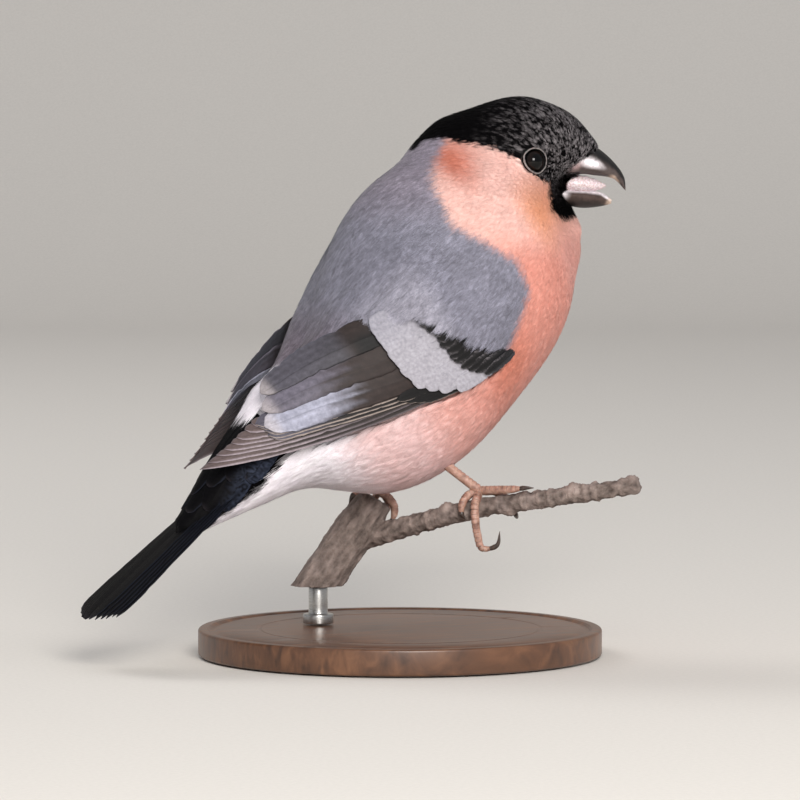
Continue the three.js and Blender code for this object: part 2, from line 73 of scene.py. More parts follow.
def smooth_step(low, high, value):
    share = np.clip((value - low) / (high - low), 0, 1)
    return share * share * (3 - 2 * share)


# %% [markdown]
# The camera stands where the photographer stood: 1.4 m away, a little above the bird and off its right
# side. It comes first, because every later piece is judged through it. The floor is one pale sheet that
# bends up into a wall, so that no horizon cuts through the bird.

# %% Camera
CAMERA_AZIMUTH = -25.0
CAMERA_HEIGHT_ANGLE = 4.0
CAMERA_DISTANCE = 1400.0
FRAME_WIDTH = 800.0
PIXELS_PER_MM = 4.4
SENSOR = 36.0

azimuth, above = math.radians(CAMERA_AZIMUTH), math.radians(CAMERA_HEIGHT_ANGLE)
camera_out = np.array(
    [math.sin(azimuth) * math.cos(above), -math.cos(azimuth) * math.cos(above), math.sin(above)]
)
lens = SENSOR * CAMERA_DISTANCE / (FRAME_WIDTH / PIXELS_PER_MM)
bpy.ops.object.camera_add(location=in_frame(camera_out * CAMERA_DISTANCE))
camera = bpy.context.object
camera.name = "camera"
camera.rotation_euler = Vector(-camera_out).to_track_quat("-Z", "Y").to_euler()
camera.data.sensor_width = SENSOR
camera.data.lens = lens
camera.data.clip_end = 20
bpy.context.scene.camera = camera
print(f"camera at {CAMERA_DISTANCE:.0f} mm with a {lens:.0f} mm lens")


# %% Node helper for the materials
def paint(red, green, blue):
    """A colour as a painter reads it off a chart, 0 to 255, in the linear light the renderer counts in."""
    values = np.array([red, green, blue], float) / 255
    return np.where(values <= 0.04045, values / 12.92, ((values + 0.055) / 1.055) ** 2.4)


def node(tree, kind, inputs=None, **settings):
    made = tree.nodes.new(kind)
    for name, value in settings.items():
        setattr(made, name, value)
    for socket, value in (inputs or {}).items():
        if isinstance(value, bpy.types.NodeSocket):
            tree.links.new(value, made.inputs[socket])
        else:
            made.inputs[socket].default_value = value
    return made


def material(name, **constants):
    """A new material, its tree and its shader, with what is the same all over set on the shader itself."""
    made = bpy.data.materials.new(name)
    made.use_nodes = True
    shader = made.node_tree.nodes["Principled BSDF"]
    for socket, value in constants.items():
        shader.inputs[socket.replace("_", " ")].default_value = value
    return made, made.node_tree, shader


def colour(values):
    return (*[float(value) for value in values], 1.0)


def mixed(tree, share, first, second, blend="MIX"):
    """A mix of two colours, each a socket or a painter's colour."""
    made = node(tree, "ShaderNodeMix", data_type="RGBA", blend_type=blend)
    for socket, value in ((0, share), (6, first), (7, second)):
        if isinstance(value, bpy.types.NodeSocket):
            tree.links.new(value, made.inputs[socket])
        elif socket == 0:
            made.inputs[socket].default_value = value
        else:
            made.inputs[socket].default_value = colour(value)
    return made.outputs[2]


def ramp(tree, share, stops):
    """A colour ramp through (place, painter's colour) stops."""
    made = node(tree, "ShaderNodeValToRGB", {"Fac": share})
    elements = made.color_ramp.elements
    while len(elements) < len(stops):
        elements.new(0.5)
    for element, (place, value) in zip(elements, stops):
        element.position = place
        element.color = colour(value)
    return made.outputs["Color"]


def noise_at(tree, coordinates, scale, detail=3.0, roughness=0.55, stretch=(1, 1, 1)):
    """Noise of so many waves to the metre on given coordinates, stretched along their axes."""
    mapping = node(tree, "ShaderNodeMapping", {"Vector": coordinates, "Scale": stretch})
    made = node(
        tree,
        "ShaderNodeTexNoise",
        {"Vector": mapping.outputs[0], "Scale": scale, "Detail": detail, "Roughness": roughness},
    )
    return made.outputs["Fac"]


def object_coordinates(tree):
    return node(tree, "ShaderNodeTexCoord").outputs["Object"]


def bumped(tree, shader, height, distance, strength=1.0):
    bump = node(
        tree, "ShaderNodeBump", {"Height": height, "Distance": distance, "Strength": strength}
    )
    tree.links.new(bump.outputs[0], shader.inputs["Normal"])


def own_value(tree, name, output="Fac"):
    """What a piece carries under a name on each of its points."""
    return node(tree, "ShaderNodeAttribute", attribute_name=name).outputs[output]


def coloured(tree, shader, tint):
    tree.links.new(tint, shader.inputs["Base Color"])


def roughened(tree, shader, share, smoothest, roughest):
    """Roughness that follows a share from a smoothest to a roughest value."""
    rough = node(tree, "ShaderNodeMapRange", {"Value": share, "To Min": smoothest, "To Max": roughest})
    tree.links.new(rough.outputs[0], shader.inputs["Roughness"])


# %% Selecting and applying
def select_only(*objects):
    bpy.ops.object.select_all(action="DESELECT")
    for each in objects:
        each.select_set(True)
    bpy.context.view_layer.objects.active = objects[0]


def apply_modifier(made, kind, **settings):
    select_only(made)
    modifier = made.modifiers.new(kind.lower(), kind)
    for name, value in settings.items():
        setattr(modifier, name, value)
    bpy.ops.object.modifier_apply(modifier=modifier.name)


def edit_all():
    """Opens the active piece in edit mode with all of it selected."""
    bpy.ops.object.mode_set(mode="EDIT")
    bpy.ops.mesh.select_all(action="SELECT")


# %% Floor and wall
FLOOR_REACH = 2.0
FLOOR_DEPTH = 1.75
FLOOR_SINK = 0.0004
WALL_HEIGHT = 2.2
BEND_RADIUS = 0.5
BEND_STEPS = 24

bpy.ops.mesh.primitive_plane_add(
    size=2 * FLOOR_REACH, location=(0, FLOOR_DEPTH - FLOOR_REACH, -FLOOR_SINK)
)
floor = bpy.context.object
floor.name = "floor"
floor.rotation_euler.z = azimuth
bpy.ops.object.transform_apply(location=False)
bpy.ops.object.mode_set(mode="EDIT")
bpy.ops.mesh.select_all(action="DESELECT")
bpy.ops.object.mode_set(mode="OBJECT")
away = np.array([-math.sin(azimuth), math.cos(azimuth), 0])
depths = np.array([np.dot(vertex.co, away) for vertex in floor.data.vertices])
for vertex, depth in zip(floor.data.vertices, depths):
    vertex.select = bool(depth > depths.mean())
bpy.ops.object.mode_set(mode="EDIT")
bpy.ops.mesh.select_mode(type="VERT")
bpy.ops.mesh.extrude_region_move(TRANSFORM_OT_translate={"value": (0, 0, WALL_HEIGHT)})
bpy.ops.object.mode_set(mode="OBJECT")
apply_modifier(floor, "BEVEL", width=BEND_RADIUS, segments=BEND_STEPS, limit_method="ANGLE")
bpy.ops.object.shade_smooth()
paper, tree, shader = material("backdrop_paper", Roughness=0.9)
fibre = noise_at(tree, object_coordinates(tree), 900.0, 2.0)
tint = ramp(tree, fibre, [(0.3, paint(214, 209, 202)), (0.7, paint(219, 214, 207))])
coloured(tree, shader, tint)
bumped(tree, shader, fibre, 0.00005, 0.3)
floor.data.materials.append(paper)
print("floor and wall set behind the bird")

# %% [markdown]
# The photo's light comes from above the camera and a little to its right, and it leaves a single small
# glint in the eye. One panel there gives the form. Two weaker ones fill the shadows from the right and light
# the back from behind, without a glint of their own, and a low pale sky lifts the rest.


# %% Lights
def panel(name, place, size, power, tint, mirrored=True):
    """A square soft light at a place in millimetres, facing the bird. One that isn't mirrored leaves no
    glint on the eye or the bill."""
    bpy.ops.object.light_add(type="AREA", location=in_frame(place))
    light = bpy.context.object
    light.name = name
    light.data.size, light.data.energy, light.data.color = size, power, tint
    light.rotation_euler = Vector(-np.asarray(place, float)).to_track_quat("-Z", "Y").to_euler()
    light.visible_glossy = mirrored


KEY_LIGHT = [-330, -1230, 560]
FILL_LIGHT = [1150, -700, 260]
BACK_LIGHT = [-500, 900, 900]
WARM, COOL, NEUTRAL = (1.0, 0.97, 0.93), (0.95, 0.97, 1.0), (1.0, 1.0, 1.0)
SKY = (0.9, 0.93, 1.0, 1)
SKY_STRENGTH = 0.42
panel("key_light", KEY_LIGHT, 0.56, 20.5, WARM)
panel("fill_light", FILL_LIGHT, 0.9, 6.5, COOL, mirrored=False)
panel("back_light", BACK_LIGHT, 0.7, 6.0, NEUTRAL, mirrored=False)
world = bpy.data.worlds.new("pale_room")
bpy.context.scene.world = world
world.use_nodes = True
sky = world.node_tree.nodes["Background"]
sky.inputs["Color"].default_value = SKY
sky.inputs["Strength"].default_value = SKY_STRENGTH
bpy.context.scene.view_settings.view_transform = "Standard"
print("three panels and a pale sky light the bird")

# %% [markdown]
# The feathers have to lie on the same body as the CAD solids. That body was made from a few soft forms, so
# the same forms are written here again, for whole lists of points at once. Each form tells how far outside
# it a point lies, and its slope tells which way is out. With those two, any point can be set at any height
# over the body, which is all that a coat of feathers needs.

# %% Forms of the body
BODY_PITCH = 58
TORSO = dict(at=[6.5, 0, 17.2], half=[42, 24, 26.6], pitch=BODY_PITCH)
CHEST = dict(at=[14.1, 0, 29.3], half=[23.7, 21.7, 26.1], pitch=BODY_PITCH + 6)
RUMP = dict(start=[-26.8, 0, -6.2], end=[-52.5, 0, -26.6], radii=[13, 2.6], breadth=1.1)
WINGS_AIR = dict(start=[-26.2, 0, -4.5], end=[-51.2, -1.2, -20], radii=[10.5, 3.4], breadth=1.25)
HEAD_AT = np.array([30.0, 0, 56])
HEAD_PITCH = -20
HEAD_YAW = -25
SOFTNESS = 11


def turned(pitch, yaw=0):
    """The turn that lifts by a pitch and swings to the left by a yaw, in degrees."""
    p, y = np.radians([pitch, yaw])
    lift = np.array([[np.cos(p), 0, -np.sin(p)], [0, 1, 0], [np.sin(p), 0, np.cos(p)]])
    swing = np.array([[np.cos(y), -np.sin(y), 0], [np.sin(y), np.cos(y), 0], [0, 0, 1]])
    return swing @ lift


def ellipsoid(at, half, pitch=0, yaw=0):
    turn, at, half = turned(pitch, yaw), np.asarray(at, float), np.asarray(half, float)

    def form(points):
        inside = ((points - at) @ turn) / half
        reach = np.linalg.norm(inside, axis=-1)
        slope = np.linalg.norm(inside / half, axis=-1)
        return reach * (reach - 1) / np.maximum(slope, 1e-9)

    return form


def cone(start, end, radii, breadth):
    """A round bar that tapers from one radius to another, broader across by a factor."""
    start, run = np.asarray(start, float), np.subtract(end, start).astype(float)

    def form(points):
        share = np.clip((points - start) @ run / (run @ run), 0, 1)
        off = (points - start - share[..., None] * run) / [1, breadth, 1]
        return np.linalg.norm(off, axis=-1) - (radii[0] + (radii[1] - radii[0]) * share)

    return form


def blended(forms, softness):
    """Forms run together, as soft clay would be, over a width at their seams."""

    def form(points):
        nearest = forms[0](points)
        for other in forms[1:]:
            value = other(points)
            near = np.maximum(softness - np.abs(nearest - value), 0) / softness
            nearest = np.minimum(nearest, value) - near**2 * softness / 4
        return nearest

    return form


head_turn = turned(HEAD_PITCH, HEAD_YAW)


def on_head(points):
    """Points given forward, left and up from the middle of the skull, as points of the bird."""
    return HEAD_AT + np.asarray(points, float) @ head_turn.T


def from_head(points):
    return (np.asarray(points, float) - HEAD_AT) @ head_turn


skull = ellipsoid(on_head([-5, 0, 0.3]), [17.7, 11.2, 8.9], HEAD_PITCH + 27, HEAD_YAW)
throat = ellipsoid(on_head([4.3, 0, -10.4]), [12, 3.5, 2.8], HEAD_PITCH - 13, HEAD_YAW)
brow = cone(on_head([-1.2, 0, 4.8]), on_head([14.4, 0, 4.3]), [3.6, 2.7], 1)
trunk = [ellipsoid(**TORSO), ellipsoid(**CHEST), cone(**RUMP)]
body_form = blended([*trunk, skull, throat, brow], SOFTNESS)
wing_bed = blended([*trunk, cone(**WINGS_AIR)], SOFTNESS)

# %% Shoulders, where the coat runs out over the folded wings
WING_START = np.array([19.2, 0, 9.6])
WING_PITCH = 22.8
WING_LENGTH = 74
WING_RADII = [25, 25.5, 23, 19, 15.5, 8.4]
SCAPULAR_HEIGHT = 2.6
SHOULDER = dict(half=[17, 7.6, 11], tilt=28, behind=11, up=12, left=18.8)
SHOULDER_SOFTNESS = 4


def backward(pitch):
    """The way back and down at a pitch, in the bird's own middle plane."""
    return np.array([-math.cos(math.radians(pitch)), 0, -math.sin(math.radians(pitch))])


behind = backward(WING_PITCH)
upward = np.array([behind[2], 0, -behind[0]])
shoulder_at = WING_START + behind * SHOULDER["behind"] + upward * SHOULDER["up"]
shoulders = [
    ellipsoid(
        shoulder_at + [0, side * SHOULDER["left"], 0],
        SHOULDER["half"],
        WING_PITCH + SHOULDER["tilt"],
    )
    for side in (-1, 1)
]


def on_wing(points):
    """How far behind the wing's start points lie, and how far up round its line."""
    off = points - WING_START
    back = off @ behind
    radius = np.interp(back, np.linspace(0, WING_LENGTH, len(WING_RADII)), WING_RADII)
    up = np.arctan2(off @ upward, np.abs(off[:, 1])) * radius
    return back, up


def draped_form(points):
    """The body's form, thickened where the scapular feathers lie over the folded wing."""
    back, up = on_wing(points)
    along = smooth_step(7, 17, back) * (1 - smooth_step(36, 50, back))
    around = smooth_step(4, 14, up) * (1 - smooth_step(23, 33, up))
    return body_form(points) - SCAPULAR_HEIGHT * along * around


coat_form = blended([draped_form, *shoulders], SHOULDER_SOFTNESS)


def slope_of(form, points, step=0.05):
    """Which way a form's distance grows, and how fast."""
    return np.stack(
        [(form(points + axis) - form(points - axis)) / (2 * step) for axis in np.eye(3) * step], -1
    )


def settled(form, points, height, rounds=3):
    """The points moved straight out or in until they lie at a height over the form."""
    for _ in range(rounds):
        slope = slope_of(form, points)
        push = (height - form(points)) / np.maximum((slope**2).sum(-1), 0.2)
        points = points + slope * push[..., None]
    return points


def face_at(side, forward, up):
    """Where the side of the head lies, and the way it faces there."""
    lefts = np.arange(0, 20, 0.01)[:, None] * [0, side, 0]
    line = on_head(lefts + [forward, 0, up])
    place = line[np.argmax(body_form(line) > 0)]
    return place, unit(slope_of(body_form, place[None]))[0]


EYE_AT = [3.9, -0.4]
eye_places = {side: face_at(side, *EYE_AT) for side in (-1, 1)}
print(f"the eyes lie {np.linalg.norm(eye_places[1][0] - eye_places[-1][0]):.1f} mm apart")

# %% [markdown]
# A bullfinch is told by its markings: black cap and bib, rosy cheeks and breast, ash-grey back, white rump
# and vent, black wings with one pale bar. Skin and feathers both ask one function for their colour, so that
# nothing of the wrong colour shines through. The borders are short lines across the body, seen from its
# side. The head is turned, so the lines are drawn on a bird that looks straight ahead, and each point is
# turned back before it is looked up.

# %% Colours of the plumage
BLACK = paint(8, 7, 8)
# The grey of the painted highlights on the glossy black crown.
CROWN_HIGHLIGHT = paint(138, 132, 134)
MANTLE = paint(127, 126, 139)
MANTLE_EDGE = paint(151, 149, 161)
LILAC = paint(112, 101, 110)
NAPE = paint(140, 132, 144)
CREAM = paint(226, 184, 174)
PEACH = paint(214, 146, 108)
TERRACOTTA = paint(196, 112, 88)
ROSE = paint(213, 146, 131)
BRICK = paint(203, 126, 104)
FLANK = paint(222, 168, 158)
BLUSH = paint(231, 199, 198)
WHITE = paint(243, 237, 243)
# A blue that stands for the painted gloss on the black tail and its coverts.
PAINTED_BLUE_GLOSS = paint(70, 78, 98)

# %% Borders and patches of colour
# Each patch has a place and a reach, forward and up, a strength at its middle and a colour.
PATCHES = [
    ([34, 43], [11, 12], 0.9, PEACH),
    ([13.8, 54.4], [10.5, 9], 0.95, TERRACOTTA),
    ([19, 9], [9, 12], 0.9, BRICK),
    ([40, 31], [8, 14], 0.6, FLANK),
]
# Each border is a line of places forward and up. Black lies to the left of the cap's line, and the rosy
# front to the left of the grey back's.
CAP_LINE = [
    [-60, -8], [-22, -7.1], [-20.2, -4.1], [-17, -2.9], [-11.4, -2], [-5.7, -1.1], [0, -1.6],
    [5.8, -4.4], [8.3, -4.4], [9.8, -7.9], [11, -9.9], [14.4, -11.2], [17.9, -9], [40, -8],
]  # fmt: skip
GREY_LINE = [
    [16, 66], [13.7, 58.5], [11.6, 55.5], [5.2, 51], [3, 48.2], [3.9, 40.5], [11.2, 36.5], [18.5, 32.1],
    [21.3, 25.7], [18.9, 19], [17.2, 14.5], [14.8, 9.8], [3.4, 4.6], [-9.2, -0.8], [-20.4, -5], [-70, -34],
]  # fmt: skip


def beside(line, places):
    """How far to the left of a line flat places lie, walking from its first point to its last."""
    line = np.asarray(line, float)
    nearest, sign = np.full(len(places), 1e9), np.ones(len(places))
    for first, second in zip(line[:-1], line[1:]):
        run, off = second - first, places - first
        share = np.clip(off @ run / (run @ run), 0, 1)
        distance = np.linalg.norm(off - share[:, None] * run, axis=1)
        closer = distance < nearest
        nearest = np.where(closer, distance, nearest)
        sign = np.where(closer, np.sign(run[0] * off[:, 1] - run[1] * off[:, 0]), sign)
    return nearest * sign


NECK_LOW, NECK_HIGH = 35, 55


def straightened(points):
    """The bird's points as they would lie if it looked straight ahead."""
    x, y, z = points.T
    angle = np.radians(-HEAD_YAW) * smooth_step(NECK_LOW, NECK_HIGH, z + 0.8 * (x - 15))
    x, cos, sin = x - HEAD_AT[0], np.cos(angle), np.sin(angle)
    return np.stack([HEAD_AT[0] + x * cos - y * sin, x * sin + y * cos, z], -1)


def toward(colours, share, target):
    """Colours moved a share of the way to another one."""
    return colours + (target - colours) * np.clip(share, 0, 1)[:, None]


def patch(places, at, reach):
    """One at a place, fading to nothing at a reach from it."""
    return 1 - smooth_step(0, 1, np.linalg.norm((places - at) / reach, axis=1))


rump_start = np.array(RUMP["start"], float)
rump_run = unit(np.subtract(RUMP["end"], RUMP["start"]))


def rosy_front(flat):
    """Cheeks, breast, flanks and belly: rosy above, and whiter and whiter towards the vent."""
    belly = flat @ unit([0.75, 0.66])
    colours = np.tile(ROSE, (len(flat), 1))
    colours = toward(colours, smooth_step(31, 42, flat[:, 1]), CREAM)
    for at, reach, strength, tint in PATCHES:
        colours = toward(colours, strength * patch(flat, at, reach), tint)
    colours = toward(colours, 1 - smooth_step(3, 15, belly), FLANK)
    colours = toward(colours, 1 - smooth_step(-10, 4, belly), BLUSH)
    return toward(colours, 1 - smooth_step(-26, -13, belly), WHITE)


def grey_back(points, flat):
    """Nape and mantle, paler over the wing's bar, lilac lower down, and white on the rump."""
    back, up = on_wing(points)
    grey = toward(np.tile(MANTLE, (len(points), 1)), smooth_step(38, 52, flat[:, 1]), NAPE)
    over_bar = smooth_step(11, 17, back) * (1 - smooth_step(27, 34, back)) * smooth_step(7, 12, up)
    grey = toward(grey, over_bar * (1 - smooth_step(17, 27, up)), MANTLE_EDGE)
    grey = toward(grey, 0.85 * smooth_step(27, 40, back), LILAC)
    grey = toward(grey, smooth_step(43, 46, back), WHITE)
    return toward(grey, smooth_step(28, 36, back) * (1 - smooth_step(5, 10, up)), WHITE)


def plumage(points):
    """The colour at each point of the body, and how far it lies inside the cap."""
    flat = straightened(points)[:, [0, 2]]
    in_cap = beside(CAP_LINE, from_head(points)[:, [0, 2]])
    in_front = beside(GREY_LINE, flat)
    colours = rosy_front(flat)
    colours = toward(colours, 1 - smooth_step(-1.3, 1.3, in_front), grey_back(points, flat))
    past = (points - rump_start) @ rump_run
    off = points - rump_start - past[:, None] * rump_run
    over = off @ np.array([-rump_run[2], 0, rump_run[0]]) * -1
    dark = smooth_step(6, 9, past - 3 * np.maximum(-over, 0)) * smooth_step(-3.4, -1.6, over)
    colours = toward(colours, dark, BLACK)
    colours = toward(colours, smooth_step(-0.3, 0.3, in_cap), BLACK)
    return colours, in_cap


# %% [markdown]
# The skin is one closed surface under the whole coat. It could be sculpted afresh, but copies of the CAD
# flesh nodes already have the right shape. They are joined and remeshed into one even net, which closes the
# cuts between head, neck, body, rump and tail. The tail's own length is cut off again, and then every point
# is set a feather's depth below the form.


# %% Mesh helpers
def plain_numbers(values):
    return np.ascontiguousarray(values, np.float32).ravel()


def points_of(made):
    places = np.empty(len(made.data.vertices) * 3, np.float32)
    made.data.vertices.foreach_get("co", places)
    return in_bird(places.reshape(-1, 3))


def set_points(made, points):
    made.data.vertices.foreach_set("co", plain_numbers(in_frame(points)))
    made.data.update()


def put(mesh, name, values):
    """Gives every vertex a value or a colour under a name that materials read."""
    values = np.asarray(values, float)
    if values.ndim == 1:
        mesh.attributes.new(name, "FLOAT", "POINT").data.foreach_set("value", plain_numbers(values))
        return
    full = np.column_stack([values, np.ones(len(values))])
    mesh.attributes.new(name, "FLOAT_COLOR", "POINT").data.foreach_set("color", plain_numbers(full))


def piece_of(name, points, corners):
    """An object from points, and from faces that all have the same number of corners."""
    mesh = bpy.data.meshes.new(name)
    mesh.vertices.add(len(points))
    mesh.vertices.foreach_set("co", plain_numbers(in_frame(points)))
    mesh.loops.add(corners.size)
    mesh.loops.foreach_set("vertex_index", corners.astype(np.int32).ravel())
    mesh.polygons.add(len(corners))
    starts = np.arange(0, corners.size, corners.shape[1], dtype=np.int32)
    mesh.polygons.foreach_set("loop_start", starts)
    mesh.update(calc_edges=True)
    mesh.shade_smooth()
    made = bpy.data.objects.new(name, mesh)
    bpy.context.scene.collection.objects.link(made)
    return made


def face_outwards(made):
    select_only(made)
    edit_all()
    bpy.ops.mesh.normals_make_consistent(inside=False)
    bpy.ops.object.mode_set(mode="OBJECT")


def corners_of(mesh):
    """Which vertex lies at each corner of each face."""
    corners = np.empty(len(mesh.loops), np.int32)
    mesh.loops.foreach_get("vertex_index", corners)
    return corners


def put_bake_map(mesh, places):
    """The map that a baked picture of the piece would be laid out by, one place for each face corner."""
    mesh.uv_layers.new(name="OFBake").data.foreach_set("uv", plain_numbers(places))


def put_point_map(mesh, places):
    """The same map from one place for each vertex, kept just inside the picture."""
    put_bake_map(mesh, np.clip(places, 0.001, 0.999)[corners_of(mesh)])


def finish_piece(made, look, slot, *replaced):
    """Gives a piece its material and its body, and hides the CAD nodes that it stands for. Its slot is not
    used.
    """
    made.data.materials.clear()
    made.data.materials.append(look)
    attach(made, "root")
    if replaced:
        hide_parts(*replaced)
    print(made.name, len(made.data.polygons), "faces")


# %% Feather material, shared by skin and coat
def plume_material(name, roughness, sheen, specular, streak):
    """Colour from the piece's own tint, with fine streaks along the barbs and a soft sheen."""
    made, tree, shader = material(
        name, Sheen_Weight=sheen, Sheen_Roughness=0.45, Specular_IOR_Level=specular, Roughness=roughness
    )
    grain = noise_at(tree, object_coordinates(tree), 3600.0, 2.0)
    shade = ramp(tree, grain, [(0.3, (1 - streak,) * 3), (0.7, (1 + streak,) * 3)])
    coloured(tree, shader, mixed(tree, 1.0, own_value(tree, "tint", "Color"), shade, "MULTIPLY"))
    bumped(tree, shader, grain, 0.00003, 0.4)
    return made


plume_pale = plume_material("plume_pale", 0.8, 0.2, 0.2, 0.09)
plume_grey = plume_material("plume_grey", 0.75, 0.15, 0.2, 0.2)
plume_black = plume_material("plume_black", 0.6, 0.0, 0.025, 0.3)

# %% Skin
CLOSE = 0.00001
SKIN_DEPTH = 0.9
SKIN_VOXEL = 0.0011
SKIN_END = np.array([-50.5, 0, -25])
SKIN_ROUNDS = 6


def joined_copies(name, *nodes):
    """Copies of CAD nodes as one mesh of their own, with their loose triangles merged."""
    copies = []
    for each in nodes:
        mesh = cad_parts[each].data.copy()
        mesh.materials.clear()
        copies.append(bpy.data.objects.new(name, mesh))
        bpy.context.scene.collection.objects.link(copies[-1])
    select_only(*copies)
    bpy.ops.object.join()
    made = bpy.context.object
    made.name = name
    edit_all()
    bpy.ops.mesh.remove_doubles(threshold=CLOSE)
    bpy.ops.object.mode_set(mode="OBJECT")
    return made


skin = joined_copies("skin", "torso", "neck", "rump", "head", "tail")
apply_modifier(skin, "REMESH", mode="VOXEL", voxel_size=SKIN_VOXEL)
lengthwise = (points_of(skin) - rump_start) @ rump_run
too_far = lengthwise > rump_run @ SKIN_END - rump_run @ rump_start
for vertex, far in zip(skin.data.vertices, too_far):
    vertex.select = bool(far)
for polygon in skin.data.polygons:
    polygon.select = all(skin.data.vertices[corner].select for corner in polygon.vertices)
select_only(skin)
bpy.ops.object.mode_set(mode="EDIT")
bpy.ops.mesh.select_mode(type="VERT")
bpy.ops.mesh.delete(type="VERT")
bpy.ops.mesh.select_all(action="DESELECT")
bpy.ops.mesh.select_non_manifold()
bpy.ops.mesh.edge_face_add()
bpy.ops.object.mode_set(mode="OBJECT")
set_points(skin, settled(body_form, points_of(skin), -SKIN_DEPTH, SKIN_ROUNDS))
bpy.ops.object.shade_smooth()
print("skin has", len(skin.data.vertices), "points")

# %% Unwrap of the skin, and its colours
UNWRAP_AXIS = unit([0.85, 0, 0.52])
UNWRAP_MIDDLE = np.array([3.0, 0, 20])
UNWRAP_LENGTH = 165
UNWRAP_TURN = 0.96
SKIN_SHADE = 0.8


def unwrapped(points):
    """Round the body and along it, each from 0 to 1, as if the skin were opened along the belly."""
    side = unit(np.cross([0, 1, 0], UNWRAP_AXIS))
    off = points - UNWRAP_MIDDLE
    around = np.arctan2(off[:, 1], off @ side * -1) / (2 * math.pi)
    length = off @ UNWRAP_AXIS
    return np.stack([0.5 + around * UNWRAP_TURN, 0.5 + length / UNWRAP_LENGTH], -1)


def finish_skin():
    points = points_of(skin)
    colours, _ = plumage(points)
    put(skin.data, "tint", colours * SKIN_SHADE)
    places = unwrapped(points)[corners_of(skin.data)]
    starts = np.repeat(
        [polygon.loop_start for polygon in skin.data.polygons],
        [polygon.loop_total for polygon in skin.data.polygons],
    )
    jump = np.round(places[:, 0] - places[starts, 0])
    places[:, 0] = np.clip(places[:, 0] - jump * UNWRAP_TURN, 0, 1)
    put_bake_map(skin.data, places)
    finish_piece(skin, plume_pale, "pink_feathers", "torso", "neck", "rump", "head")


finish_skin()

# %% [markdown]
# A feather of the coat is a thin leaf: a narrow foot in the skin, a blade a little arched across, and a
# fringe of barbs at its tip. It is drawn once as a pattern of 23 points and then bent over the body many
# thousand times, because a hand-placed coat would take weeks and particle hair can't be kept in the export.
# The lie of the coat runs from the bill over the body to the tail, as water would flow off it.

# %% The pattern of one feather
FRINGE = 8
FOOT = slice(0, 3)
WAIST = slice(3, 6)
MIDDLE = 4


def leaf_pattern():
    """Places along (0 to 1) and across (-1 to 1) of one leaf, and its triangles."""
    foot = [(0, across) for across in (-0.45, 0, 0.45)]
    waist = [(0.3, across) for across in (-0.95, 0, 0.95)]
    base = [(0.58 - 0.13 * abs(across) ** 2, across) for across in np.linspace(-1, 1, FRINGE + 1)]
    barbs = (np.arange(FRINGE) + 0.5) / FRINGE * 2 - 1
    tips = [(1 - 0.3 * abs(across) ** 2.2, across * 0.92) for across in barbs]
    b = len(foot + waist)
    t = b + len(base)
    faces = [(0, 1, 4), (0, 4, 3), (1, 2, 5), (1, 5, 4)]
    faces += [(3, b + 1, b), (3, b + 2, b + 1), (3, 4, b + 2), (4, b + 3, b + 2), (4, b + 4, b + 3)]
    faces += [(4, b + 5, b + 4), (4, b + 6, b + 5), (4, 5, b + 6), (5, b + 7, b + 6), (5, b + 8, b + 7)]
    faces += [(b + k, b + k + 1, t + k) for k in range(FRINGE)]
    return np.array(foot + waist + base + tips), np.array(faces)[:, ::-1]


PATTERN, PATTERN_FACES = leaf_pattern()
FIRST_TIP = len(PATTERN) - FRINGE

# %% The lie of the coat
BILL_ROOT = on_head([12.5, 0, -1.5])
TAIL_POINT = np.array([-56.0, 0, -30])


def lie_at(points, normals):
    """The way feathers point: away from the bill and towards the tail, flat along the skin."""
    flow = np.zeros_like(points)
    for pull in (points - BILL_ROOT, TAIL_POINT - points):
        flow += pull / np.maximum((pull**2).sum(-1), 9)[:, None] ** 1.2
    return unit(flow - (flow * normals).sum(-1)[:, None] * normals)


# %% Where feathers grow
FROM_BILL = [3, 8, 16, 30, 60, 85, 105]
FEATHER_LENGTHS = [1.1, 1.5, 2.4, 3.8, 5.2, 6.6, 7.6]


def feather_length(points):
    """Shortest round the bill, longest at the vent, in millimetres."""
    return np.interp(np.linalg.norm(points - BILL_ROOT, axis=1), FROM_BILL, FEATHER_LENGTHS)


def candidates(count, draw):
    """Random places on the skin's faces, thicker where feathers are small."""
    mesh = skin.data
    mesh.calc_loop_triangles()
    corners = np.empty(len(mesh.loop_triangles) * 3, np.int32)
    mesh.loop_triangles.foreach_get("vertices", corners)
    triangles = points_of(skin)[corners.reshape(-1, 3)]
    a, b, c = triangles[:, 0], triangles[:, 1], triangles[:, 2]
    area = np.linalg.norm(np.cross(b - a, c - a), axis=1) / 2
    weight = area / feather_length(a) ** 1.7
    chosen = draw.choice(len(triangles), count, p=weight / weight.sum())
    u, v = draw.random((2, count))
    over = u + v > 1
    u, v = np.where(over, 1 - u, u)[:, None], np.where(over, 1 - v, v)[:, None]
    return a[chosen] + u * (b - a)[chosen] + v * (c - a)[chosen]


def thinned(points, spacing, draw):
    """Keeps one point to each cell as wide as the feathers' spacing there, class by class."""
    order = draw.permutation(len(points))
    classes = np.round(np.log(spacing) * 6)
    cell = np.exp(classes / 6)
    keys = np.column_stack([np.floor(points / cell[:, None]), classes])[order]
    _, first = np.unique(keys, axis=0, return_index=True)
    return np.sort(order[first])


# %% Where the wings cover the coat
# How far behind the wing's start the coat runs out over it, by how far up round the body.
COAT_EDGE_UP = [-1, 0, 6.3, 7, 8.7, 11.7, 15, 17.8, 19.5, 20.6, 21.6, 22.6, 23.6, 30]
COAT_EDGE_BACK = [0, 0.4, 0.6, 3.2, 7, 10.4, 13.9, 17.6, 22.6, 33, 48, 58, 60, 60]
WING_LOW_BACK = [38, 48, 60]
WING_LOW_UP = [-0.6, 1.2, 4]
WING_TOP_UP = 31
WING_END_BACK = 58


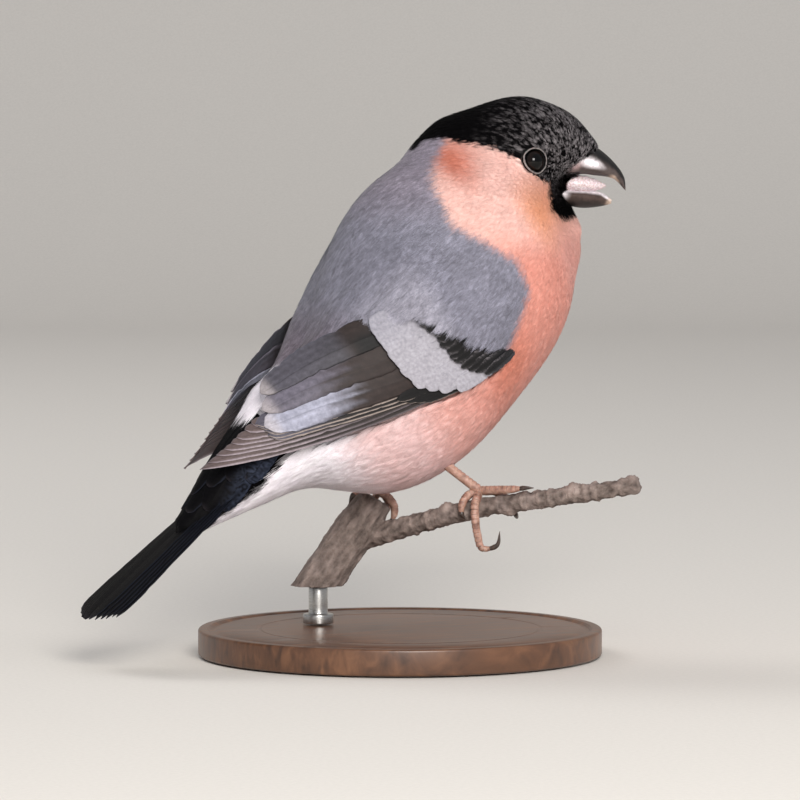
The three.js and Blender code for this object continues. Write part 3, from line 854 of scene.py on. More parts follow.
def uncovered(points, draw):
    """True where no wing feather will lie over the place."""
    back, up = on_wing(points)
    edge = np.interp(up, COAT_EDGE_UP, COAT_EDGE_BACK) + draw.normal(0, 0.7, len(points))
    lowest = np.interp(back, WING_LOW_BACK, WING_LOW_UP)
    under_wing = (back > edge) & (up > lowest) & (up < WING_TOP_UP) & (back < WING_END_BACK)
    return ~under_wing


# %% Where the face stays bare
CLEAR_OF_EYE = 3.3
EYE_REACH = 5
BILL_HALF_WIDTH = 5.6
# How far forward on the head feathers grow in front of the bill's root, by how far up.
MASK_EDGE_UP = [-9, -7.5, -6.5, -5.4, -3.7, -1.4, 1.5, 3.8, 5.6, 7.6, 9]
MASK_EDGE = [18, 16.2, 14, 12.6, 12.4, 13.6, 14.6, 15.4, 16.6, 18, 30]


def clear_of_face(points, tips):
    """True where a feather neither hides the eye nor grows through the bill."""
    clear = np.ones(len(points), bool)
    for each in (points, (points + tips) / 2, tips):
        for place, facing in eye_places.values():
            off = each - place
            depth = off @ facing
            aside = np.linalg.norm(off - depth[:, None] * facing, axis=1)
            clear &= (aside > CLEAR_OF_EYE) | (np.abs(depth) > EYE_REACH)
        forward, left, up = from_head(each).T
        ahead = forward > np.interp(up, MASK_EDGE_UP, MASK_EDGE)
        clear &= ~(ahead & (up > MASK_EDGE_UP[0]) & (np.abs(left) < BILL_HALF_WIDTH))
    return clear


# %% Grow the coat
COAT_SEED = 21
CANDIDATES = 360000
ROOT_DEPTH = 0.5
LEAN_DEGREES = 7
LENGTH_SPREAD = 0.15


def grow():
    """Roots, normals, directions and lengths of all the coat's feathers, and the draw that goes on."""
    draw = np.random.default_rng(COAT_SEED)
    roots = candidates(CANDIDATES, draw)
    length = feather_length(roots)
    kept = thinned(roots, 0.08 + 0.118 * length, draw)
    roots, length = roots[kept], length[kept]
    roots = settled(coat_form, roots, -ROOT_DEPTH)
    normals = unit(slope_of(coat_form, roots))
    lie = lie_at(roots, normals)
    across = np.cross(normals, lie)
    lean = np.radians(draw.normal(0, LEAN_DEGREES, len(roots)))[:, None]
    lie = lie * np.cos(lean) + across * np.sin(lean)
    length = length * draw.uniform(1 - LENGTH_SPREAD, 1 + LENGTH_SPREAD, len(roots))
    kept = uncovered(roots, draw) & clear_of_face(roots, roots + lie * length[:, None])
    return roots[kept], normals[kept], lie[kept], length[kept], draw


roots, normals, lie, length, coat_draw = grow()
print(len(roots), "feathers in the coat")

# %% Shape the coat
LIFT_ROOT = -0.55
LIFT_TIP = 0.12
CURL = 0.07
TILT = 0.07


def shaped(roots, normals, lie, length, draw):
    """The pattern bent over the body for every feather: its points, their normals, and where they lie
    along and across it. All have the shape (feathers, pattern, ...)."""
    count = len(roots)
    width = 0.24 + 0.24 * length
    along, across = PATTERN[:, 0], PATTERN[:, 1]
    along = np.tile(along, (count, 1))
    across = np.tile(across, (count, 1))
    along[:, FIRST_TIP:] += draw.normal(0, 0.08, (count, FRINGE))
    across[:, FIRST_TIP:] += draw.normal(0, 0.09, (count, FRINGE))
    sideways = np.cross(normals, lie)
    step = along * length[:, None]
    reach = across * width[:, None] / 2
    points = roots[:, None] + step[..., None] * lie[:, None] + reach[..., None] * sideways[:, None]
    rise = LIFT_ROOT + (LIFT_TIP - LIFT_ROOT) * along**0.7
    rise = rise - 0.1 * across**2 * np.minimum(width, 1.2)[:, None]
    rise = rise + (draw.normal(0, CURL, count) * np.minimum(length / 4, 1))[:, None] * along
    flat = settled(coat_form, points.reshape(-1, 3), rise.ravel())
    smooth = unit(slope_of(coat_form, flat)).reshape(count, -1, 3)
    tilt = draw.normal(0, TILT, (2, count))[..., None] + [0.3 * across, 0.1 * along - 0.05]
    faced = unit(smooth + tilt[0][..., None] * sideways[:, None] + tilt[1][..., None] * lie[:, None])
    return flat.reshape(count, -1, 3), faced, along, across


coat_points, coat_normals, coat_along, coat_across = shaped(roots, normals, lie, length, coat_draw)
print(coat_points.shape[0] * coat_points.shape[1], "points in the coat")


# %% Colour the coat
def is_grey(colours):
    """One where a colour is a middling grey, and nothing where it is rosy, white or black."""
    strength = colours.mean(1)
    rosy = (colours[:, 0] - colours[:, 2]) / np.maximum(strength, 1e-3)
    return ((rosy < 0.12) & (strength > 0.06) & (strength < 0.6)).astype(float)


def feather_tints(roots, lie, length, draw):
    """The colour of every point of every feather: its place's colour, varied from feather to feather."""
    count = len(roots)
    sample = roots + lie * (length * 0.6)[:, None] + draw.normal(0, 0.3, (count, 3))
    base, in_cap = plumage(sample)
    mottle = np.array([noise.noise(Vector(place * 0.28)) for place in sample])
    grey = is_grey(base)
    each = draw.normal(0, 1, count) * (0.03 + 0.09 * grey)
    base = base * (1 + (0.1 + 0.06 * grey) * mottle + each)[:, None]
    # The grey flecks on the front of the black cap are painted highlights of its gloss, in clusters and
    # thicker towards the forehead.
    head = from_head(sample)
    toward_front = smooth_step(-14, 6, head[:, 0]) * smooth_step(-9, -3, head[:, 2])
    patches = np.array([noise.noise(Vector(place * 0.85 + 9)) for place in sample])
    highlighted = draw.random(count) < 0.15 + 0.4 * toward_front + 0.9 * patches
    painted_highlight = highlighted * (in_cap > 0.6) * toward_front * draw.uniform(0.1, 0.95, count) ** 1.2
    base = toward(base, painted_highlight, CROWN_HIGHLIGHT)
    shade = np.ones((count, len(PATTERN)))
    shade[:, FOOT] = 0.75
    shade[:, WAIST] = 0.95
    grain = np.where(in_cap > 0, 0.4, 0.06) + 0.17 * grey
    shade[:, FIRST_TIP:] = 1.05 + draw.normal(0, 1, (count, FRINGE)) * grain[:, None]
    return np.clip(base[:, None] * shade[..., None], 0.002, 0.98), in_cap


tints, in_cap = feather_tints(roots, lie, length, coat_draw)

# %% Divide the coat into tracts
CHEEK_LOW = 36
BELLY_HIGH = 8
DARK_BELOW = 0.05
TUFT_PATCH = 0.003


def tract_names():
    """Each feather's tract: a bird's coat grows in tracts, and each is a piece of its own here."""
    base = tints[:, MIDDLE]
    straight = straightened(roots)
    names = np.where(is_grey(base) > 0, "mantle", "breast").astype("<U12")
    names[(names == "breast") & (straight[:, 2] > CHEEK_LOW)] = "cheek"
    names[(names == "breast") & (roots @ [0.75, 0, 0.66] < BELLY_HIGH)] = "belly"
    names[base.mean(1) < DARK_BELOW] = "rump_dark"
    names[in_cap > 0] = "cap"
    sides = np.where(straight[:, 1] < 0, "right", "left")
    return np.char.add(np.char.add(names, "_"), sides)


LOOK_OF = {
    "mantle": (plume_grey, "grey_feathers"),
    "cap": (plume_black, "black_feathers"),
    "rump_dark": (plume_black, "black_feathers"),
    "belly": (plume_pale, "white_feathers"),
}


def coat_piece(name, chosen):
    """The chosen feathers as one piece, shaded by the body's own roundness."""
    points = coat_points[chosen].reshape(-1, 3)
    count, size = len(chosen), len(PATTERN)
    corners = (PATTERN_FACES[None] + (np.arange(count) * size)[:, None, None]).reshape(-1, 3)
    made = piece_of(f"coat_{name}", points, corners)
    put(made.data, "tint", tints[chosen].reshape(-1, 3))
    made.data.normals_split_custom_set_from_vertices(coat_normals[chosen].reshape(-1, 3))
    places = np.repeat(unwrapped(roots[chosen]), size, axis=0)
    inner = np.column_stack([coat_across[chosen].ravel(), 2 * coat_along[chosen].ravel() - 1])
    put_point_map(made.data, places + inner * TUFT_PATCH / 2)
    look, slot = LOOK_OF.get(name.rsplit("_", 1)[0], (plume_pale, "pink_feathers"))
    finish_piece(made, look, slot)


tracts = tract_names()
for tract in sorted(set(tracts)):
    coat_piece(tract, np.flatnonzero(tracts == tract))

# %% [markdown]
# The flight feathers and the tail are large enough to be seen one by one. Each is a vane with a shaft, a
# narrow outer web and a broad inner one, barbs that part here and there at the edge, and two faces with an
# edge between them. In the folded wing they lie in tiers, each feather over the next one down. A flat plan
# with a grid of points for each vane keeps all of them alike, and lets each be painted by its own points.

# %% The shape of one vane
VANE_ACROSS = np.array([-1, -0.9, -0.8, -0.62, -0.42, -0.3, -0.24, -0.18, 0, 0.25, 0.5, 0.72, 0.88, 1])
VANE_ROWS = 30
VANE_THICKNESS = 0.13
VANE_POINTS = 2 * (VANE_ROWS + 1) * len(VANE_ACROSS)
SHAFT = -0.24
SHAFT_HEIGHT = 0.06
SPLIT_DEPTH = 0.07


def vane(place, draw, root, tip, width, edges, bow=0.0, lift=0.0, blunt=0.12, arch=0.08, splits=3):
    """One vane as a closed shell: its points, where each lies along and across, and its flat plan. place
    turns distances behind, around and above into points. edges are the heights of its two edges."""
    start, run = np.array(root, float), np.subtract(tip, root).astype(float)
    sideways = unit([-run[1], run[0]])
    share = np.linspace(0, 1, VANE_ROWS + 1) ** 0.85
    breadth = np.interp(share, [0, 0.25, 0.6, 1], [0.7, 0.97, 1, 0.92])
    rounding = np.clip((share - (1 - blunt)) / blunt, 0, 1)
    breadth *= np.sqrt(np.maximum(1 - rounding**2.4, 0.012))
    along, across = np.meshgrid(share, VANE_ACROSS, indexing="ij")
    reach = across / 2 * width * breadth[:, None]
    edge_ward = np.abs(across) ** 4
    for _ in range(splits):
        at, side = draw.uniform(0.35, 0.95), draw.choice([-1, 1])
        cut = np.exp(-(((along - at) / 0.012) ** 2)) * (side * across > 0.4)
        reach -= cut * side * edge_ward * width * SPLIT_DEPTH
    reach += draw.normal(0, 0.012, along.shape) * width * edge_ward * (along > 0.1)
    height = edges[0] + (edges[1] - edges[0]) * (across + 1) / 2
    height += lift * (1 - along) ** 2
    height += SHAFT_HEIGHT * np.exp(-(((across - SHAFT) / 0.05) ** 2)) * (1 - along)
    height += arch * (1 - across**2) + draw.normal(0, 0.008, along.shape)
    spot = start + along[..., None] * run + (reach + bow * 4 * along * (1 - along))[..., None] * sideways
    top = place(spot[..., 0].ravel(), spot[..., 1].ravel(), height.ravel())
    low = place(spot[..., 0].ravel(), spot[..., 1].ravel(), height.ravel() - VANE_THICKNESS)
    return np.vstack([top, low]), np.tile(along.ravel(), 2), np.tile(across.ravel(), 2), spot.reshape(-1, 2)


def shell_faces():
    """Quads of one vane: its upper face, its lower face turned over, and the edge between them."""
    rows, columns = VANE_ROWS + 1, len(VANE_ACROSS)
    grid = np.arange(rows * columns).reshape(rows, columns)
    a, b, c, d = grid[:-1, :-1], grid[:-1, 1:], grid[1:, 1:], grid[1:, :-1]
    upper = np.stack([a, b, c, d], -1).reshape(-1, 4)
    low = rows * columns
    lower = upper[:, ::-1] + low
    rim = np.concatenate([grid[0], grid[1:, -1], grid[-1, -2::-1], grid[-2:0:-1, 0]])
    following = np.roll(rim, -1)
    edge = np.stack([following, rim, rim + low, following + low], -1)
    return np.vstack([upper, lower, edge])


VANE_FACES = shell_faces()


def vanes_piece(name, vanes, look, slot, *replaced):
    """Joins vanes, each with its colours, into one piece, with a square of the bake map for each."""
    points = np.vstack([each["points"] for each in vanes])
    corners = np.vstack([VANE_FACES + VANE_POINTS * k for k in range(len(vanes))])
    made = piece_of(name, points, corners)
    face_outwards(made)
    put(made.data, "tint", np.vstack([each["tint"] for each in vanes]))
    put(made.data, "along", np.concatenate([each["along"] for each in vanes]))
    put(made.data, "across", np.concatenate([each["across"] for each in vanes]))
    columns = math.ceil(math.sqrt(len(vanes)))
    face = np.repeat([0, 1], VANE_POINTS // 2)
    places = []
    for k, each in enumerate(vanes):
        u = (k % columns + 0.04 + 0.46 * face + 0.42 * (each["across"] + 1) / 2) / columns
        v = (k // columns + 0.04 + 0.92 * each["along"]) / columns
        places.append(np.column_stack([u, v]))
    put_point_map(made.data, np.vstack(places))
    finish_piece(made, look, slot, *replaced)


# %% Vane material
BARB_SLANT = 0.05
BARB_WAVES = 900.0
BLUE_SHEEN = (0.75, 0.83, 1.0, 1)


def counted(tree, operation, *values):
    return node(tree, "ShaderNodeMath", dict(enumerate(values)), operation=operation).outputs[0]


def vane_material(name, roughness, specular, sheen):
    """Barbs run out from the shaft at a slant, so the bump follows along and across the vane."""
    made, tree, shader = material(
        name, Specular_IOR_Level=specular, Sheen_Weight=sheen, Sheen_Roughness=0.4, Sheen_Tint=BLUE_SHEEN
    )
    outward = counted(tree, "ABSOLUTE", counted(tree, "SUBTRACT", own_value(tree, "across"), SHAFT))
    slant = counted(tree, "MULTIPLY", outward, BARB_SLANT)
    barb = counted(tree, "SUBTRACT", own_value(tree, "along"), slant)
    ridges = counted(tree, "SINE", counted(tree, "MULTIPLY", barb, BARB_WAVES))
    grain = noise_at(tree, object_coordinates(tree), 1500.0, 3.0)
    shade = ramp(tree, grain, [(0.25, (0.8,) * 3), (0.75, (1.2,) * 3)])
    coloured(tree, shader, mixed(tree, 1.0, own_value(tree, "tint", "Color"), shade, "MULTIPLY"))
    roughened(tree, shader, grain, roughness - 0.1, roughness + 0.12)
    bumped(tree, shader, ridges, 0.00003, 0.4)
    return made


vane_wing = vane_material("vane_wing", 0.55, 0.3, 0.1)
vane_gloss = vane_material("vane_gloss", 0.5, 0.05, 0.0)

# %% [markdown]
# A folded wing wraps round the flank. Its feathers are laid out on a flat plan, by how far behind the
# wing's start and how far up round the body they lie, and then found on the wing's bed, the surface that
# the CAD wing lies on too.

# %% Places round a line inside the wing
SPAN_RAYS = 10
SPAN_STATIONS = 20
TIGHT_PASSES = 200
FARTHEST = 60.0
HALVINGS = 16


def pulled_tight(depths):
    """Depths along a line, raised wherever a stretched thread would span a hollow."""
    raised = depths.copy()
    for _ in range(TIGHT_PASSES):
        raised[1:-1] = np.maximum(raised[1:-1], (raised[:-2] + raised[2:]) / 2)
    return raised


def round_spine(form, start, line, zero, quarter, length, radii):
    """Places by how far behind a start, how far around, and how high over a form whose hollows are
    spanned straight."""
    steps = np.linspace(0, length, len(radii))

    def depth(centre, ray, height):
        inner, outer = np.zeros(len(centre)), np.full(len(centre), FARTHEST)
        for _ in range(HALVINGS):
            middle = (inner + outer) / 2
            low = form(centre + ray * middle[:, None]) < height
            inner, outer = np.where(low, middle, inner), np.where(low, outer, middle)
        return outer

    def ray_at(angle):
        return np.cos(angle)[:, None] * zero + np.sin(angle)[:, None] * quarter

    stations = start + np.linspace(0, length, SPAN_STATIONS)[:, None] * line
    spans = np.empty((SPAN_RAYS, SPAN_STATIONS))
    for k, angle in enumerate(np.linspace(0, math.pi / 2, SPAN_RAYS)):
        depths = depth(stations, ray_at(np.full(SPAN_STATIONS, angle)), 0)
        spans[k] = pulled_tight(depths) - depths

    def span(back, angle):
        column = np.clip(back / length, 0, 1) * (SPAN_STATIONS - 1)
        ray = np.clip(2 * angle / math.pi, 0, 1) * (SPAN_RAYS - 1)
        c = np.minimum(column.astype(int), SPAN_STATIONS - 2)
        r = np.minimum(ray.astype(int), SPAN_RAYS - 2)
        near = spans[r, c] * (c + 1 - column) + spans[r, c + 1] * (column - c)
        far = spans[r + 1, c] * (c + 1 - column) + spans[r + 1, c + 1] * (column - c)
        return near * (r + 1 - ray) + far * (ray - r)

    def place(back, around, height):
        centre = start + back[:, None] * line
        angle = around / np.interp(back, steps, radii)
        ray = ray_at(angle)
        return centre + ray * (depth(centre, ray, height) + span(back, angle))[:, None]

    return place


def painted_vane(place, draw, paint_vane, k, brightest=1.0, **settings):
    """One vane with its colours. Its plan is told twice, for its upper and its lower face."""
    points, along, across, spot = vane(place, draw, **settings)
    tint = paint_vane(along, across, np.tile(spot, (2, 1)), k, draw)
    return dict(points=points, along=along, across=across, tint=np.clip(tint, 0.002, brightest))


def row(place, draw, count, first, last, paint_vane, tips=None, **shared):
    """Like feathers from a first to a last one, each lying over the next. tips, where given, is the line
    that they end on."""
    made = []
    for k in range(count):
        share = k / (count - 1)
        each = {}
        for name in first:
            each[name] = (1 - share) * np.array(first[name]) + share * np.array(last[name])
        if tips:
            each["tip"] = [np.interp(each["tip"][1], *tips), each["tip"][1]]
        each["tip"] = each["tip"] + draw.normal(0, 0.2, 2)
        made.append(painted_vane(place, draw, paint_vane, k, 0.95, **each, **shared))
    return made


# %% Colours of the wing feathers
PRIMARY = paint(44, 38, 37)
PRIMARY_EDGE = paint(158, 146, 152)
SECONDARY = paint(24, 20, 20)
SECONDARY_EDGE = paint(168, 154, 146)
TERTIAL = paint(46, 37, 35)
TERTIAL_OLIVE = paint(68, 66, 72)
# A pale blue-grey highlight and a lilac gloss, both painted sheen on the dark flight feathers.
GLOSS_HIGHLIGHT = paint(156, 157, 174)
LILAC_SHEEN = paint(116, 112, 126)
COVERT_BASE = paint(11, 9, 10)
COVERT_FRINGE = paint(118, 112, 116)
BAR = paint(160, 157, 165)
BAR_TOP = paint(150, 148, 158)
SHAFT_TINT = paint(24, 20, 19)
BROWN_TIP = paint(112, 96, 94)
PALE_TIP = paint(206, 196, 196)
# How strongly each tertial, from the top one down, takes its painted sheen, and in which colour.
TERTIAL_PAINTED_SHEENS = [(0.2, LILAC_SHEEN), (0.7, LILAC_SHEEN), (0.95, GLOSS_HIGHLIGHT)]


def with_shaft(colours, across, tint=SHAFT_TINT, strength=0.6):
    return toward(colours, strength * (np.abs(across - SHAFT) < 0.05), tint)


def streaks(draw, along, across, strength):
    """Light and dark strips that run out along the barbs."""
    phase = draw.uniform(0, 6.28, 4)
    slanted = along * 60 - np.abs(across - SHAFT) * 3
    wave = np.sin(slanted * 1.7 + phase[0]) + np.sin(slanted * 3.9 + phase[1]) * 0.7
    return 1 + strength * wave * 0.5


def paint_primary(along, across, spot, k, draw):
    colours = np.tile(PRIMARY, (len(along), 1)) * streaks(draw, along, across, 0.12)[:, None]
    colours = toward(colours, 0.7 * smooth_step(0.55, 0.95, along), BROWN_TIP)
    pale = 1 - smooth_step(-0.9, -0.66, across)
    colours = toward(colours, pale * (0.3 + 0.65 * smooth_step(0.3, 0.65, along)), PRIMARY_EDGE)
    return with_shaft(colours, across)


def paint_secondary(along, across, spot, k, draw):
    colours = np.tile(SECONDARY, (len(along), 1)) * streaks(draw, along, across, 0.12)[:, None]
    # The lilac towards the tip is painted sheen.
    colours = toward(colours, 0.5 * smooth_step(0.6, 0.95, along), LILAC_SHEEN)
    pale = 1 - smooth_step(-0.94, -0.8, across)
    colours = toward(colours, pale * 0.9 * smooth_step(0.15, 0.35, along), SECONDARY_EDGE)
    return with_shaft(colours, across)


def paint_tertial(along, across, spot, k, draw):
    """The uppermost is olive and black at its base, and each lower one has more of the pale gloss, a painted
    highlight.
    """
    colours = np.tile(TERTIAL, (len(along), 1))
    if k == 0:
        colours = toward(colours, smooth_step(0.34, 0.46, along), TERTIAL_OLIVE)
        black = (1 - smooth_step(0.3, 0.4, along)) * (1 - smooth_step(18, 20, spot[:, 1]))
        colours = toward(colours, black, COVERT_BASE)
    waves = 0.05 * np.sin(across * 13 + 2 * k) + 0.03 * np.sin(across * 31 + k)
    # The pale gloss is a painted highlight.
    gloss = smooth_step(0.42, 0.72, along + 0.08 * across + waves + draw.normal(0, 0.015, len(along)))
    strength, tint = TERTIAL_PAINTED_SHEENS[k]
    colours = toward(colours, strength * gloss, tint)
    combed = 1 + 0.22 * np.sin(across * 19 + 3 * k) * np.sin(across * 7 + k)
    colours = colours * (streaks(draw, along, across, 0.22) * combed)[:, None]
    colours = toward(colours, 0.5 * smooth_step(0.9, 0.97, along), PALE_TIP)
    dark_edge = smooth_step(0.93, 0.99, -across) * (0.4 + 0.6 * (k == 0))
    colours = toward(colours, 0.7 * dark_edge, COVERT_BASE)
    return with_shaft(colours, across, SHAFT_TINT, 0.3)


BAR_FRONT_UP = [0, 1.3, 4, 7.2, 11.2, 14.7, 17.5, 20, 23]
BAR_FRONT_BACK = [8, 9.5, 13.3, 16.5, 17.6, 18.7, 21.5, 24.5, 27]
BAR_BACK_UP = [0, 1, 1.8, 4, 6.8, 12.2, 17.1, 20, 23]
BAR_BACK = [15, 16.4, 19.9, 23.4, 26.5, 28.7, 29.8, 30.2, 30.6]


def paint_covert(along, across, spot, k, draw):
    """Black at the base and pale at the tip: side by side the tips make the wing's bar."""
    front = np.interp(spot[:, 1], BAR_FRONT_UP, BAR_FRONT_BACK)
    ragged = 0.5 * np.sin(across * 9 + k * 2.1) + draw.normal(0, 0.5, len(along))
    pale = smooth_step(-2.4, -0.8, spot[:, 0] - front + ragged)
    colours = np.tile(COVERT_BASE, (len(along), 1))
    bar = BAR + (BAR_TOP - BAR) * smooth_step(12, 20, spot[:, 1])[:, None]
    bar = bar * (1 + draw.normal(0, 0.02)) * streaks(draw, along, across, 0.12)[:, None]
    colours = colours + (bar - colours) * pale[:, None]
    return with_shaft(colours, across, SHAFT_TINT, 0.06)


def paint_median_covert(along, across, spot, k, draw):
    """Black with a grey fringe that thins out towards the bar."""
    colours = np.tile(COVERT_BASE, (len(along), 1))
    fringe = smooth_step(0.35, 1, np.abs(across)) * draw.uniform(0, 1, len(along)) ** 1.5
    return toward(colours, 0.75 * fringe * smooth_step(0.2, 0.6, along), COVERT_FRINGE)


def paint_primary_covert(along, across, spot, k, draw):
    colours = np.tile(COVERT_BASE, (len(along), 1)) * streaks(draw, along, across, 0.2)[:, None]
    pale = (1 - smooth_step(-0.92, -0.78, across)) * smooth_step(0.3, 0.7, along)
    return toward(colours, 0.5 * pale, SECONDARY_EDGE)


# %% Feathers of one wing
WING_SEED = 5


def wing_vanes(side):
    """Primaries, secondaries, tertials and three kinds of coverts, each laid over the ones before."""
    draw = np.random.default_rng(WING_SEED + side)
    place = round_spine(
        wing_bed, WING_START, behind, np.array([0, side, 0]), upward, WING_LENGTH, WING_RADII
    )
    vanes = row(
        place, draw, 8,
        dict(root=[46, 11.6], tip=[60.5, 13.4], width=3.6, lift=0),
        dict(root=[18, 2.2], tip=[WING_LENGTH, 7.2], width=3.2, lift=0),
        paint_primary, edges=[0.95, 0.55], bow=-1.4, blunt=0.1,
    )  # fmt: skip
    vanes += row(
        place, draw, 6,
        dict(root=[24, 9.6], tip=[60, 12.0], width=4.4, lift=-0.2),
        dict(root=[14, 3.6], tip=[59, 7.6], width=3.6, lift=-0.2),
        paint_secondary, edges=[1.3, 0.95], bow=-0.4, blunt=0.1,
    )  # fmt: skip
    vanes += row(
        place, draw, 3,
        dict(root=[23, 18.7], tip=[55.6, 17.9], width=6.4, lift=-0.9),
        dict(root=[20, 8.2], tip=[59.2, 10.4], width=8.0, lift=-0.7),
        paint_tertial, edges=[1.7, 1.35], bow=0.3, blunt=0.2, arch=0.16,
    )  # fmt: skip
    vanes += row(
        place, draw, 4,
        dict(root=[11, 3.6], tip=[31, 4.0], width=2.6, lift=-0.6),
        dict(root=[9, 1.4], tip=[25, 1.5], width=2.4, lift=-0.6),
        paint_primary_covert, edges=[1.6, 1.45], blunt=0.2,
    )  # fmt: skip
    vanes += row(
        place, draw, 11,
        dict(root=[15, 18.0], tip=[30, 18.6], width=5.2, lift=-2.2),
        dict(root=[2, 3.0], tip=[17, 1.4], width=4.4, lift=-2.2),
        paint_covert, edges=[2.1, 1.98], blunt=0.12, tips=(BAR_BACK_UP, BAR_BACK), arch=0.05,
    )  # fmt: skip
    vanes += row(
        place, draw, 12,
        dict(root=[13, 15.2], tip=[24, 16.4], width=3.4, lift=-2.4),
        dict(root=[0, 3.0], tip=[9, 1.6], width=2.8, lift=-2.4),
        paint_median_covert, edges=[2.3, 2.15], blunt=0.5, tips=(BAR_FRONT_UP, BAR_FRONT_BACK), splits=9,
    )  # fmt: skip
    return vanes


vanes_piece("wing_feathers_right", wing_vanes(-1), vane_wing, "grey_feathers", "wing_right")
vanes_piece("wing_feathers_left", wing_vanes(1), vane_wing, "grey_feathers", "wing_left")

# %% [markdown]
# The tail is a folded fan of twelve feathers, six to a side, the middle pair on top. Glossy black coverts
# close the gap between rump and tail above, and long soft white ones below.

# %% Tail feathers
TAIL_ROOT = np.array([-28.3, 0, -5.6])
TAIL_PITCH = 40.8
TAIL_LENGTH = 62
TAIL_PAIRS = 6
TAIL_HALF_FAN = 10.3
TAIL_LEAST_FAN = 1.4
TAIL_YAW = 1.2
TAIL_SEED = 12
TAIL_BLACK = paint(8, 7, 9)
TAIL_RIM = paint(58, 54, 58)
TAIL_SHAFT = paint(4, 4, 5)

tail_back = backward(TAIL_PITCH)
tail_up = np.array([tail_back[2], 0, -tail_back[0]])


def on_tail(back, left, height):
    """Places by how far back along the tail, how far to the left, and how high over it."""
    side = left + back * math.tan(math.radians(TAIL_YAW))
    return TAIL_ROOT + back[:, None] * tail_back + height[:, None] * tail_up + side[:, None] * [0, 1, 0]


def paint_tail(along, across, spot, k, draw):
    colours = np.tile(TAIL_BLACK, (len(along), 1)) * streaks(draw, along, across, 0.3)[:, None]
    # Painted blue gloss along the outer edge.
    colours = toward(colours, 0.12 * (1 - smooth_step(-0.95, -0.8, across)), PAINTED_BLUE_GLOSS)
    colours = toward(colours, 0.5 * smooth_step(0.965, 0.99, along), TAIL_RIM)
    return with_shaft(colours, across, TAIL_SHAFT)


def tail_vanes():
    draw = np.random.default_rng(TAIL_SEED)
    vanes = []
    for pair in range(TAIL_PAIRS):
        for side in (-1, 1):
            share = pair / (TAIL_PAIRS - 1)
            height = 0.3 - 0.2 * pair - 0.05 * side
            reach = TAIL_LEAST_FAN + (TAIL_HALF_FAN - TAIL_LEAST_FAN) * share**0.8
            tip = [TAIL_LENGTH + 1.2 - 0.6 * pair + draw.normal(0, 0.2), side * reach]
            vanes.append(painted_vane(
                on_tail, draw, paint_tail, pair,
                root=[6, side * (0.8 + 2.2 * share)], tip=tip,
                width=6.8 if pair == 0 else 5.6, arch=0.12,
                edges=[height - 0.12 * side, height + 0.12 * side],
                blunt=0.14,
            ))  # fmt: skip
    return vanes


vanes_piece("tail_feathers", tail_vanes(), vane_gloss, "black_feathers", "tail")

# %% Coverts of the rump
# Each tier has the place where its feathers start and end, how far round they reach, and their number.
RUMP_TIERS = [(13, 39, 5.4, 5), (9, 33, 8.0, 6), (5, 27, 10.0, 7)]
RUMP_SEED = 13


def paint_rump(along, across, spot, k, draw):
    """Black as the tail, with more painted blue gloss the farther down the side."""
    tint = paint_tail(along, across, spot, k, draw)
    blue = smooth_step(6, 11, np.abs(spot[:, 1])) * draw.uniform(0, 0.5, len(along))
    return toward(tint, blue, PAINTED_BLUE_GLOSS)


def rump_coverts():
    draw = np.random.default_rng(RUMP_SEED)
    rump_length = np.linalg.norm(np.subtract(RUMP["end"], RUMP["start"]))
    place = round_spine(
        cone(**RUMP), rump_start, rump_run, tail_up, np.array([0, 1, 0]), rump_length, RUMP["radii"]
    )
    vanes = []
    for tier, (back, end, spread, count) in enumerate(RUMP_TIERS):
        for k in range(count):
            around = spread * (2 * k / (count - 1) - 1)
            tip = [end - 0.9 * abs(around) + draw.normal(0, 0.5), around]
            height = 0.3 + 0.16 * tier + 0.04 * (k % 2)
            vanes.append(painted_vane(
                place, draw, paint_rump, k,
                root=[back, 1.25 * around], tip=tip, width=5.6, lift=-1.2,
                edges=[height, height], blunt=0.35, arch=0.14,
            ))  # fmt: skip
    return vanes


vanes_piece("rump_coverts", rump_coverts(), vane_gloss, "black_feathers")

# %% [markdown]
# The eye is a dark ball that sits in the head with a thin pale rim of lid round it. It is kept apart from
# the skin, as a taxidermist's glass eye is, with a polished clear coat for the one glint that brings the
# head to life.

# %% Eyes
EYE_RADIUS = 2.7
EYE_DEPTH = 1.5
IRIS_SHARE = 0.8
PUPIL_SHARE = 0.55
CORNEA_BULGE = 0.035
BEHIND = 9


def eye_material():
    made, tree, shader = material(
        "eye_glass", Roughness=0.08, Specular_IOR_Level=0.0, Coat_Weight=0.5, Coat_Roughness=0.02
    )
    fleck = noise_at(tree, object_coordinates(tree), 2500.0, 3.0)
    iris = ramp(tree, fleck, [(0.3, paint(8, 5, 4)), (0.7, paint(24, 14, 10))])
    black, white = (0,) * 3, (1,) * 3
    is_iris = ramp(tree, own_value(tree, "off_axis"), [
        (0.0, black), (PUPIL_SHARE, black), (PUPIL_SHARE + 0.04, white),
        (IRIS_SHARE, white), (IRIS_SHARE + 0.06, black),
    ])  # fmt: skip
    coloured(tree, shader, mixed(tree, is_iris, paint(3, 3, 3), iris))
    return made


eye_glass = eye_material()


